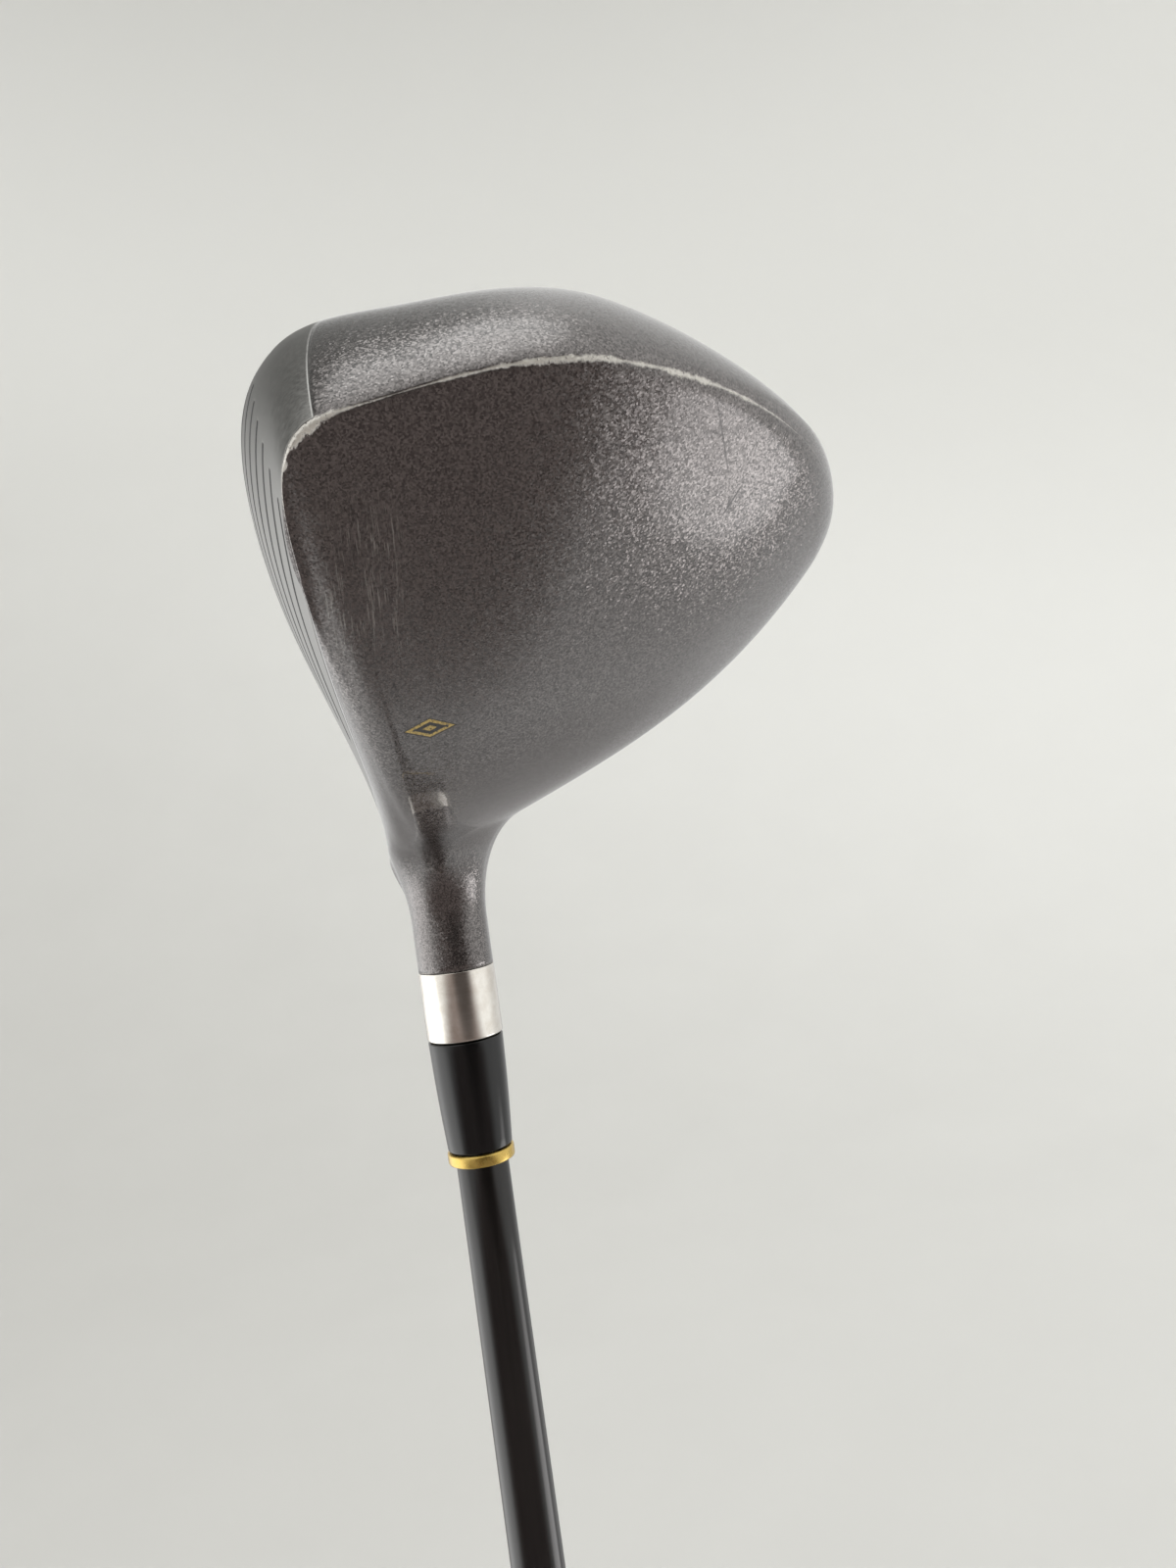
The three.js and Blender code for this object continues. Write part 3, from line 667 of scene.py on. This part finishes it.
def grip_end():
    """The cap of the grip with its rolled rim and its vent hole."""
    outline = [
        (VENT_RADIUS, CAP_HEIGHT), (VENT_RADIUS, 0.3), (VENT_RADIUS + 0.3, 0.0),
        (3.2, 0.0), (3.4, 0.25), (4.0, 0.25), (4.2, 0.0),
        (CAP_RADIUS - 0.8, 0.0), (CAP_RADIUS, 0.8), (GRIP_BUTT - 0.25, CAP_HEIGHT),
    ]
    return lathe_piece("grip_end_cap", outline, "grip_cap", corner=0.3, sides=128)


# ------------------------------------------------------------------ materials

class Shader:
    """A small helper that builds one Principled material."""

    def __init__(self, name, **values):
        self.material = bpy.data.materials.new(name)
        self.material.use_nodes = True
        self.tree = self.material.node_tree
        self.surface = self.tree.nodes["Principled BSDF"]
        for key, value in values.items():
            self.surface.inputs[key.replace("_", " ")].default_value = value

    def node(self, kind, links=None, **settings):
        node = self.tree.nodes.new(kind)
        for key, value in settings.items():
            setattr(node, key, value)
        for key, value in (links or {}).items():
            self.feed(node.inputs[key], value)
        return node

    def feed(self, socket, value):
        if isinstance(value, bpy.types.NodeSocket):
            self.tree.links.new(value, socket)
        else:
            socket.default_value = value

    def where(self, scale=(1, 1, 1)):
        place = self.node("ShaderNodeTexCoord").outputs["Object"]
        return self.node("ShaderNodeMapping", {"Vector": place, "Scale": scale}).outputs[0]

    def head_place(self, scale=(1, 1, 1)):
        place = self.node("ShaderNodeAttribute", attribute_name="head").outputs["Vector"]
        return self.node("ShaderNodeMapping", {"Vector": place, "Scale": scale}).outputs[0]

    def attribute(self, name):
        return self.node("ShaderNodeAttribute", attribute_name=name).outputs["Fac"]

    def noise(self, vector, scale, detail=3.0, roughness=0.5):
        return self.node("ShaderNodeTexNoise", {
            "Vector": vector, "Scale": scale, "Detail": detail, "Roughness": roughness}).outputs["Fac"]

    def math(self, operation, a, b=0.0):
        node = self.node("ShaderNodeMath", operation=operation)
        self.feed(node.inputs[0], a)
        self.feed(node.inputs[1], b)
        return node.outputs[0]

    def step(self, value, low, high, to_low=0.0, to_high=1.0):
        node = self.node("ShaderNodeMapRange", {
            "Value": value, "From Min": low, "From Max": high, "To Min": to_low, "To Max": to_high})
        node.interpolation_type = "SMOOTHSTEP"
        return node.outputs["Result"]

    def mix(self, factor, a, b):
        node = self.node("ShaderNodeMix", data_type="RGBA")
        self.feed(node.inputs["Factor"], factor)
        self.feed(node.inputs[6], a)
        self.feed(node.inputs[7], b)
        return node.outputs[2]

    def blend(self, factor, a, b):
        node = self.node("ShaderNodeMix", data_type="FLOAT")
        self.feed(node.inputs["Factor"], factor)
        self.feed(node.inputs[2], a)
        self.feed(node.inputs[3], b)
        return node.outputs[0]

    def bump(self, height, distance, strength=1.0, normal=None):
        links = {"Height": height, "Distance": distance, "Strength": strength}
        if normal is not None:
            links["Normal"] = normal
        return self.node("ShaderNodeBump", links).outputs["Normal"]

    def set(self, key, value):
        self.feed(self.surface.inputs[key], value)


def rgb(r, g, b):
    return (r, g, b, 1.0)


def flake_normal(shader, scale, strength):
    """Each flake of the paint leans its own way."""
    flakes = shader.node("ShaderNodeTexVoronoi", {"Vector": shader.where(), "Scale": scale})
    lean = shader.node("ShaderNodeVectorMath", {0: flakes.outputs["Color"], 1: (0.5, 0.5, 0.5)},
                       operation="SUBTRACT").outputs[0]
    lean = shader.node("ShaderNodeVectorMath", {0: lean, "Scale": strength}, operation="SCALE").outputs[0]
    normal = shader.node("ShaderNodeNewGeometry").outputs["Normal"]
    total = shader.node("ShaderNodeVectorMath", {0: normal, 1: lean}, operation="ADD").outputs[0]
    tilted = shader.node("ShaderNodeVectorMath", {0: total}, operation="NORMALIZE").outputs[0]
    return tilted, flakes.outputs["Color"]


def head_paint():
    """Gunmetal flake under clear coat, scratched, chipped to bright steel along the crown's edge, where the
    bright steel is also a painted highlight on the rounded edge.
    """
    s = Shader("head_paint", Metallic=0.88, Roughness=0.24,
               Coat_Weight=0.8, Coat_Roughness=0.05, Coat_IOR=1.5)
    tilted, grain = flake_normal(s, 4800, 0.3)
    bright = s.node("ShaderNodeSeparateColor", {"Color": grain}).outputs["Red"]
    tone = s.mix(bright, rgb(0.065, 0.058, 0.056), rgb(0.235, 0.217, 0.212))
    scuffed = scuffs(s)
    tone = s.mix(s.math("MULTIPLY", scuffed, 0.55), tone, rgb(0.50, 0.49, 0.46))
    tone = s.mix(nicks(s), tone, rgb(0.02, 0.018, 0.017))
    gold, pit = crown_mark(s)
    tone = s.mix(pit, tone, rgb(0.02, 0.016, 0.012))
    tone = s.mix(gold, tone, rgb(0.62, 0.44, 0.12))
    # The crown's edge is chipped to bare steel, and it is also kept pale and half metallic so that it always
    # shows bright: a painted highlight.
    bare = edge_wear_and_highlight(s, s.attribute("rim"), s.attribute("place"))
    s.set("Base Color", s.mix(bare, tone, rgb(0.74, 0.71, 0.66)))
    s.set("Metallic", s.blend(bare, 0.88, 0.5))
    s.set("Roughness", s.blend(s.math("MAXIMUM", bare, scuffed), 0.24, 0.4))
    s.set("Coat Normal", s.bump(s.noise(s.where(), 240, 2.0), 0.00003, 1.0))
    s.set("Normal", s.bump(s.math("SUBTRACT", 1.0, s.math("MAXIMUM", pit, bare)), 0.00012, 0.6, tilted))
    return s.material


# How far bare metal and the painted highlight on the rounded edge reach from the crown's edge, in
# millimetres, at places on the way round.
EDGE_WEAR_AND_HIGHLIGHT = [
    (5.4, 0.0), (6.6, 0.1), (7.4, 0.35), (8.1, 0.7), (8.8, 0.85), (9.3, 0.4), (9.8, 0.1), (10.4, 0.1),
    (10.9, 0.2), (11.4, 0.35), (12.6, 0.35), (13.2, 0.2), (13.8, 0.0),
]
WEAR_AND_HIGHLIGHT_SCALE = 1.5                     # the ramp holds reaches as shares of this


def edge_wear_and_highlight(s, rim, place):
    """Where the paint is gone and the crown's edge carries a painted highlight: 1 there, 0 on paint."""
    ramp = s.node("ShaderNodeValToRGB", {"Fac": s.math("DIVIDE", place, LAP)})
    elements = ramp.color_ramp.elements
    elements[0].color = elements[1].color = rgb(0, 0, 0)
    for at, reach in EDGE_WEAR_AND_HIGHLIGHT:
        level = reach / WEAR_AND_HIGHLIGHT_SCALE
        elements.new(at / LAP).color = rgb(level, level, level)
    spread = s.noise(s.head_place((0.5, 0.5, 0.5)), 1.0, 3.0)
    reach = s.math("MULTIPLY", ramp.outputs["Color"], s.step(spread, 0.3, 0.7, 0.7, 2.0))
    ragged = s.math("SUBTRACT", s.noise(s.head_place((0.8, 2.0, 1.6)), 1.0, 5.0, 0.7), 0.5)
    ragged = s.math("MULTIPLY", ragged, s.math("MULTIPLY", reach, 2.0))
    distance = s.math("ADD", s.math("ABSOLUTE", rim), ragged)
    flecks = s.step(s.noise(s.head_place(), 3.5, 3.0, 0.6), 0.28, 0.42)
    return s.math("MULTIPLY", s.step(s.math("SUBTRACT", reach, distance), -0.1, 0.25), flecks)


def inside_span(s, value, low, high, soft):
    """1 where a value lies between two others, with soft ends."""
    rising = s.step(value, low - soft, low + soft)
    falling = s.step(value, high - soft, high + soft, 1.0, 0.0)
    return s.math("MULTIPLY", rising, falling)


def head_plan(s):
    """A point's x and y in the head's own frame."""
    parts = s.node("ShaderNodeSeparateXYZ", {"Vector": s.head_place()})
    return parts.outputs["X"], parts.outputs["Y"]


def scuffs(s):
    """Fine pale streaks that run from heel to toe behind the face edge."""
    x, y = head_plan(s)
    streaks = s.step(s.noise(s.head_place((0.25, 5.5, 0.25)), 1.0, 2.0, 0.6), 0.54, 0.68)
    broken = s.step(s.noise(s.head_place((0.12, 0.35, 0.1)), 1.0, 2.0), 0.36, 0.56)
    zone = s.math("MULTIPLY", inside_span(s, x, 57, 76, 5), inside_span(s, y, 4, 12.6, 1.6))
    streaked = s.math("MULTIPLY", s.math("MULTIPLY", streaks, broken), zone)
    dings = s.step(s.noise(s.head_place((0.5, 3.5, 0.5)), 1.6, 3.0), 0.6, 0.7)
    low_zone = s.math("MULTIPLY", inside_span(s, x, 44, 52, 2), inside_span(s, y, 10, 12.4, 0.8))
    return s.math("MAXIMUM", streaked, s.math("MULTIPLY", s.math("MULTIPLY", dings, low_zone), 0.8))


def hairline(s, start, stop, width):
    """A straight thin line in the plan of the crown, by distance from the segment start-stop."""
    x, y = head_plan(s)
    dx, dy = stop[0] - start[0], stop[1] - start[1]
    length = math.hypot(dx, dy)
    across = s.math("ADD", s.math("MULTIPLY", x, dy / length), s.math("MULTIPLY", y, -dx / length))
    across = s.math("ABSOLUTE", s.math("SUBTRACT", across, (start[0] * dy - start[1] * dx) / length))
    along = s.math("ADD", s.math("MULTIPLY", x, dx / length), s.math("MULTIPLY", y, dy / length))
    first = (start[0] * dx + start[1] * dy) / length
    thin = s.step(across, 0.3 * width, width, 1.0, 0.0)
    return s.math("MULTIPLY", thin, inside_span(s, along, first, first + length, 0.15 * length))


# Dark hairline scratches in the crown: start, stop, half width, depth of tone.
NICKS = [
    ((79.5, -31.0), (70.5, -33.5), 0.16, 0.7),
    ((68.5, -35.5), (65.5, -33.2), 0.2, 0.9),
    ((76.8, -33.0), (72.8, -29.0), 0.12, 0.45),
    ((78.6, -17.0), (75.4, -36.0), 0.55, 0.22),
]


def nicks(s):
    total = None
    for start, stop, width, depth in NICKS:
        line = s.math("MULTIPLY", hairline(s, start, stop, width), depth)
        total = line if total is None else s.math("MAXIMUM", total, line)
    return total


# The generic mark's middle and half diagonals, in the plan of the crown.
MARK_MIDDLE = (42.6, 2.3)
MARK_REACH = (2.1, 3.4)


def crown_mark(s):
    """A plain engraved rhombus near the heel of the crown with a gold outline: gold, and the whole pit."""
    x, y = head_plan(s)
    across = s.math("ABSOLUTE", s.math("SUBTRACT", x, MARK_MIDDLE[0]))
    along = s.math("ABSOLUTE", s.math("SUBTRACT", y, MARK_MIDDLE[1]))
    away = s.math("ADD", s.math("DIVIDE", across, MARK_REACH[0]), s.math("DIVIDE", along, MARK_REACH[1]))
    pit = s.step(away, 0.94, 1.06, 1.0, 0.0)
    gold = s.math("MAXIMUM", inside_span(s, away, 0.62, 0.9, 0.05), s.step(away, 0.22, 0.32, 1.0, 0.0))
    worn = s.step(s.noise(s.head_place(), 1.8, 3.0), 0.3, 0.45)
    return s.math("MULTIPLY", gold, worn), pit


def brushed_steel(name, colour, roughness, grain_scale):
    s = Shader(name, Metallic=1.0, Roughness=roughness)
    lines = s.noise(s.head_place(grain_scale), 1.0, 4.0, 0.6)
    dark = tuple(0.72 * c for c in colour[:3]) + (1.0,)
    s.set("Base Color", s.mix(s.step(lines, 0.3, 0.7), dark, colour))
    s.set("Roughness", s.step(lines, 0.25, 0.75, roughness - 0.06, roughness + 0.1))
    s.set("Normal", s.bump(lines, 0.00002, 0.25))
    return s


def face_steel():
    s = brushed_steel("face_steel", rgb(0.40, 0.395, 0.38), 0.34, (0.08, 2.2, 5.0))
    groove = s.attribute("groove")
    base = s.surface.inputs["Base Color"].links[0].from_socket
    s.set("Base Color", s.mix(s.step(groove, 0.2, 0.7), base, rgb(0.006, 0.006, 0.006)))
    s.set("Metallic", s.step(groove, 0.2, 0.7, 1.0, 0.0))
    return s.material


def collar_steel():
    s = Shader("collar_steel", Metallic=1.0, Roughness=0.14)
    lines = s.noise(s.where((40, 40, 6000)), 1.0, 3.0)
    blot = s.noise(s.where(), 400, 3.0)
    s.set("Base Color", s.mix(s.step(blot, 0.3, 0.75), rgb(0.90, 0.87, 0.81), rgb(0.76, 0.71, 0.64)))
    s.set("Roughness", s.step(lines, 0.3, 0.7, 0.10, 0.2))
    s.set("Normal", s.bump(lines, 0.000006, 0.3))
    return s.material


def gloss_black():
    s = Shader("ferrule_black", Roughness=0.1, IOR=1.5)
    swirl = s.noise(s.where((300, 300, 60)), 1.0, 4.0)
    s.set("Base Color", s.mix(swirl, rgb(0.001, 0.001, 0.0013), rgb(0.004, 0.004, 0.0045)))
    s.set("Roughness", s.step(swirl, 0.3, 0.8, 0.07, 0.16))
    s.set("Normal", s.bump(s.noise(s.where((1500, 1500, 200)), 1.0, 3.0), 0.000005, 0.3))
    return s.material


def graphite():
    s = Shader("graphite", Roughness=0.12, IOR=1.5)
    grain = s.noise(s.where((900, 900, 30)), 1.0, 5.0, 0.6)
    haze = s.noise(s.where((20, 20, 12)), 1.0, 2.0)
    tone = s.mix(s.step(grain, 0.3, 0.75), rgb(0.003, 0.003, 0.0032), rgb(0.011, 0.010, 0.0095))
    s.set("Base Color", s.mix(s.math("MULTIPLY", haze, 0.4), tone, rgb(0.016, 0.011, 0.009)))
    s.set("Roughness", s.step(grain, 0.2, 0.8, 0.08, 0.2))
    s.set("Normal", s.bump(grain, 0.000006, 0.3))
    return s.material


def gold_trim():
    s = Shader("gold_trim", Metallic=0.85, Roughness=0.28, Coat_Weight=0.3)
    patch = s.noise(s.where(), 900, 3.0)
    s.set("Base Color", s.mix(patch, rgb(0.50, 0.32, 0.06), rgb(0.85, 0.62, 0.18)))
    s.set("Roughness", s.step(patch, 0.3, 0.7, 0.22, 0.4))
    return s.material


def rubber():
    s = Shader("grip_rubber", Roughness=0.75, IOR=1.45)
    fine = s.noise(s.where(), 2200, 4.0, 0.6)
    dust = s.noise(s.where(), 60, 4.0, 0.6)
    s.set("Base Color", s.mix(s.step(dust, 0.4, 0.75), rgb(0.014, 0.014, 0.015), rgb(0.035, 0.034, 0.033)))
    s.set("Roughness", s.step(dust, 0.3, 0.8, 0.62, 0.85))
    s.set("Normal", s.bump(fine, 0.00006, 0.5))
    return s.material


def dull(name, low, high, scale, roughness):
    s = Shader(name, Roughness=roughness)
    grain = s.noise(s.where(), scale, 5.0, 0.6)
    s.set("Base Color", s.mix(grain, low, high))
    s.set("Roughness", s.step(grain, 0.3, 0.7, roughness - 0.08, roughness + 0.08))
    s.set("Normal", s.bump(grain, 0.0001, 0.4))
    return s.material


def worn_metal(name, low, high, roughness):
    s = Shader(name, Metallic=1.0, Roughness=roughness)
    grain = s.noise(s.where(), 700, 5.0, 0.6)
    s.set("Base Color", s.mix(grain, low, high))
    s.set("Roughness", s.step(grain, 0.3, 0.7, roughness - 0.08, roughness + 0.1))
    s.set("Normal", s.bump(grain, 0.00004, 0.3))
    return s.material


def dress(piece, material):
    piece.data.materials.clear()
    piece.data.materials.append(material)


# ------------------------------------------------------------------ the studio

def build_studio():
    """A pale bowl of floor and wall in metres, with painted shade darkening it towards the floor and the -Y
    side, which reflections do not see.
    """
    radius, height, bend, floor = 6.0, 7.0, 3.0, -0.02
    outline = [(0.02, floor), (radius - bend, floor)]
    for t in np.linspace(0, math.pi / 2, 13)[1:]:
        outline.append((radius - bend + bend * math.sin(t), floor + bend * (1 - math.cos(t))))
    outline.append((radius, height))
    sides = 64
    angle = np.arange(sides) * 2 * math.pi / sides
    vertices = [(r * math.cos(a), r * math.sin(a), z) for a in angle for r, z in outline]
    rows = len(outline)
    faces = []
    for i in range(sides):
        for j in range(rows - 1):
            a, b = i * rows + j, ((i + 1) % sides) * rows + j
            faces.append((a, a + 1, b + 1, b))
    faces.append([i * rows for i in range(sides)])
    mesh = bpy.data.meshes.new("studio_bowl")
    mesh.from_pydata(vertices, [], faces)
    mesh.polygons.foreach_set("use_smooth", [True] * len(mesh.polygons))
    bowl = bpy.data.objects.new("studio_bowl", mesh)
    bpy.context.scene.collection.objects.link(bowl)
    paper = Shader("studio_paper", Roughness=0.9)
    # Painted shade: the paper's colour darkens towards the bottom and towards -Y, with a faint noise mottle.
    parts = paper.node("ShaderNodeSeparateXYZ", {"Vector": paper.where()})
    climb = paper.math("ADD", parts.outputs["Z"], paper.math("MULTIPLY", parts.outputs["Y"], 0.45))
    speck = paper.noise(paper.where(), 3.0, 3.0)
    painted_shade = paper.step(paper.math("ADD", climb, paper.math("MULTIPLY", speck, 0.3)), -1.4, 3.6)
    paper.set("Base Color", paper.mix(painted_shade, rgb(0.50, 0.495, 0.475), rgb(0.86, 0.86, 0.84)))
    dress(bowl, paper.material)
    bowl.visible_glossy = False


# What polished things reflect: direction (turn from +X towards +Y, and height, in degrees), the radius of the
# patch, the width of its soft edge, its brightness and its tint. The pale room is 1.
ROOM = [
    (150, -30, 50, 18, 0.72, (1.0, 1.0, 0.99)),
    (176, -32, 22, 12, 0.36, (1.0, 0.97, 0.95)),
    (140, 45, 38, 14, 0.75, (1.0, 1.0, 0.98)),
    (0, 88, 14, 10, 2.3, (0.99, 1.0, 0.99)),
    (-140, 45, 30, 12, 0.24, (1.0, 1.0, 0.96)),
    (-105, -18, 28, 15, 2.1, (1.0, 1.0, 0.99)),
    (0, -88, 16, 12, 0.3, (1.0, 0.9, 0.86)),
    (-4, -38, 50, 13, 0.27, (1.0, 0.84, 0.79)),
    (8, 4, 22, 12, 0.08, (1.0, 0.86, 0.8)),
    (90, -34, 13, 4, 2.9, (1.0, 0.985, 0.98)),
]


def build_room():
    """A pale room by direction, with the darker and brighter patches of ROOM laid over it in turn."""
    world = bpy.data.worlds.new("soft_room")
    world.use_nodes = True
    tree = world.node_tree
    background = tree.nodes["Background"]
    direction = tree.nodes.new("ShaderNodeTexCoord").outputs["Generated"]
    colour = None
    for turn, height, radius, soft, level, tint in ROOM:
        turn, height = math.radians(turn), math.radians(height)
        centre = (math.cos(turn) * math.cos(height), math.sin(turn) * math.cos(height), math.sin(height))
        dot = tree.nodes.new("ShaderNodeVectorMath")
        dot.operation = "DOT_PRODUCT"
        tree.links.new(direction, dot.inputs[0])
        dot.inputs[1].default_value = centre
        inside = tree.nodes.new("ShaderNodeMapRange")
        inside.interpolation_type = "SMOOTHSTEP"
        inside.inputs["From Min"].default_value = math.cos(math.radians(radius + soft))
        inside.inputs["From Max"].default_value = math.cos(math.radians(max(0, radius - soft)))
        tree.links.new(dot.outputs["Value"], inside.inputs["Value"])
        mix = tree.nodes.new("ShaderNodeMix")
        mix.data_type = "RGBA"
        tree.links.new(inside.outputs["Result"], mix.inputs["Factor"])
        mix.inputs[6].default_value = rgb(1, 1, 0.985)
        if colour is not None:
            tree.links.new(colour, mix.inputs[6])
        mix.inputs[7].default_value = tuple(level * c for c in tint) + (1.0,)
        colour = mix.outputs[2]
    tree.links.new(colour, background.inputs["Color"])
    background.inputs["Strength"].default_value = 1.0
    bpy.context.scene.world = world


def soft_lamp(name, place, target, size, power):
    """A large lamp that is not seen itself, neither directly nor in reflections."""
    lamp = bpy.data.lights.new(name, "AREA")
    lamp.shape = "RECTANGLE"
    lamp.size, lamp.size_y = size
    lamp.energy = power
    piece = bpy.data.objects.new(name, lamp)
    piece.location = place
    piece.rotation_euler = (Vector(target) - Vector(place)).to_track_quat("-Z", "Y").to_euler()
    piece.visible_camera = False
    piece.visible_glossy = False
    bpy.context.scene.collection.objects.link(piece)


# The camera looks level, square to the shaft, and is rolled so that the club leans in the picture.
SHOT_TURN = math.radians(10.5)
SHOT_ROLL = math.radians(7.8)
SHOT_DISTANCE, SHOT_SIDE, SHOT_BELOW = 202.64, 26.81, 21.88
LENS, SENSOR = 27.0, 36.0


def add_camera():
    forward = Vector((-math.cos(SHOT_TURN), math.sin(SHOT_TURN), 0))
    side = Vector((math.sin(SHOT_TURN), math.cos(SHOT_TURN), 0))
    right = side * math.cos(SHOT_ROLL) - Vector((0, 0, math.sin(SHOT_ROLL)))
    up = side * math.sin(SHOT_ROLL) + Vector((0, 0, math.cos(SHOT_ROLL)))
    place = side * SHOT_SIDE - forward * SHOT_DISTANCE + Vector((0, 0, CLUB_LENGTH - SHOT_BELOW))
    lens = bpy.data.cameras.new("camera")
    lens.lens = LENS
    lens.sensor_fit = "VERTICAL"
    lens.sensor_height = SENSOR
    lens.clip_start = 0.01
    lens.clip_end = 50
    camera = bpy.data.objects.new("camera", lens)
    bpy.context.scene.collection.objects.link(camera)
    turn = Matrix((right, up, -forward)).transposed().to_4x4()
    camera.matrix_world = Matrix.Translation(place * MM) @ turn
    bpy.context.scene.camera = camera


# ------------------------------------------------------------------ assembly

def main():
    add_camera()
    build_studio()
    build_room()
    dress(head_shell(), head_paint())
    dress(face_plate(), face_steel())
    dress(sole_cover(), brushed_steel("sole_steel", rgb(0.42, 0.41, 0.4), 0.3, (0.1, 3.0, 3.0)).material)
    brass = worn_metal("badge_brass", rgb(0.45, 0.32, 0.10), rgb(0.66, 0.5, 0.2), 0.35)
    dress(badge(), brass)
    dress(collar(), collar_steel())
    dress(ferrule(), gloss_black())
    dress(gold_ring(), gold_trim())
    dress(shaft_tube(), graphite())
    grip_skin = rubber()
    dress(grip(), grip_skin)
    dress(grip_end(), grip_skin)
    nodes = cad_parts
    plain = {
        "tip_weight": worn_metal("weight_brass", rgb(0.45, 0.32, 0.10), rgb(0.6, 0.45, 0.16), 0.45),
        "foam_port_screw": worn_metal("screw_steel", rgb(0.2, 0.2, 0.21), rgb(0.4, 0.4, 0.4), 0.35),
        "foam_fill": dull("foam", rgb(0.6, 0.5, 0.28), rgb(0.78, 0.69, 0.44), 900, 0.85),
        "hosel_stopper": dull("stopper", rgb(0.5, 0.4, 0.25), rgb(0.68, 0.58, 0.4), 1200, 0.8),
        "tip_plug": dull("plug", rgb(0.5, 0.4, 0.25), rgb(0.68, 0.58, 0.4), 1200, 0.8),
        "hosel_epoxy": dull("adhesive", rgb(0.45, 0.3, 0.12), rgb(0.62, 0.46, 0.22), 600, 0.4),
        "grip_tape": dull("tape", rgb(0.6, 0.55, 0.43), rgb(0.75, 0.71, 0.6), 1500, 0.75),
    }
    for node, material in plain.items():
        dress(nodes[node], material)
    soft_lamp("ceiling", (0, 0, 5.5), (0, 0, 0), (6, 6), 150)
    scene = bpy.context.scene
    scene.view_settings.view_transform = "Standard"


main()
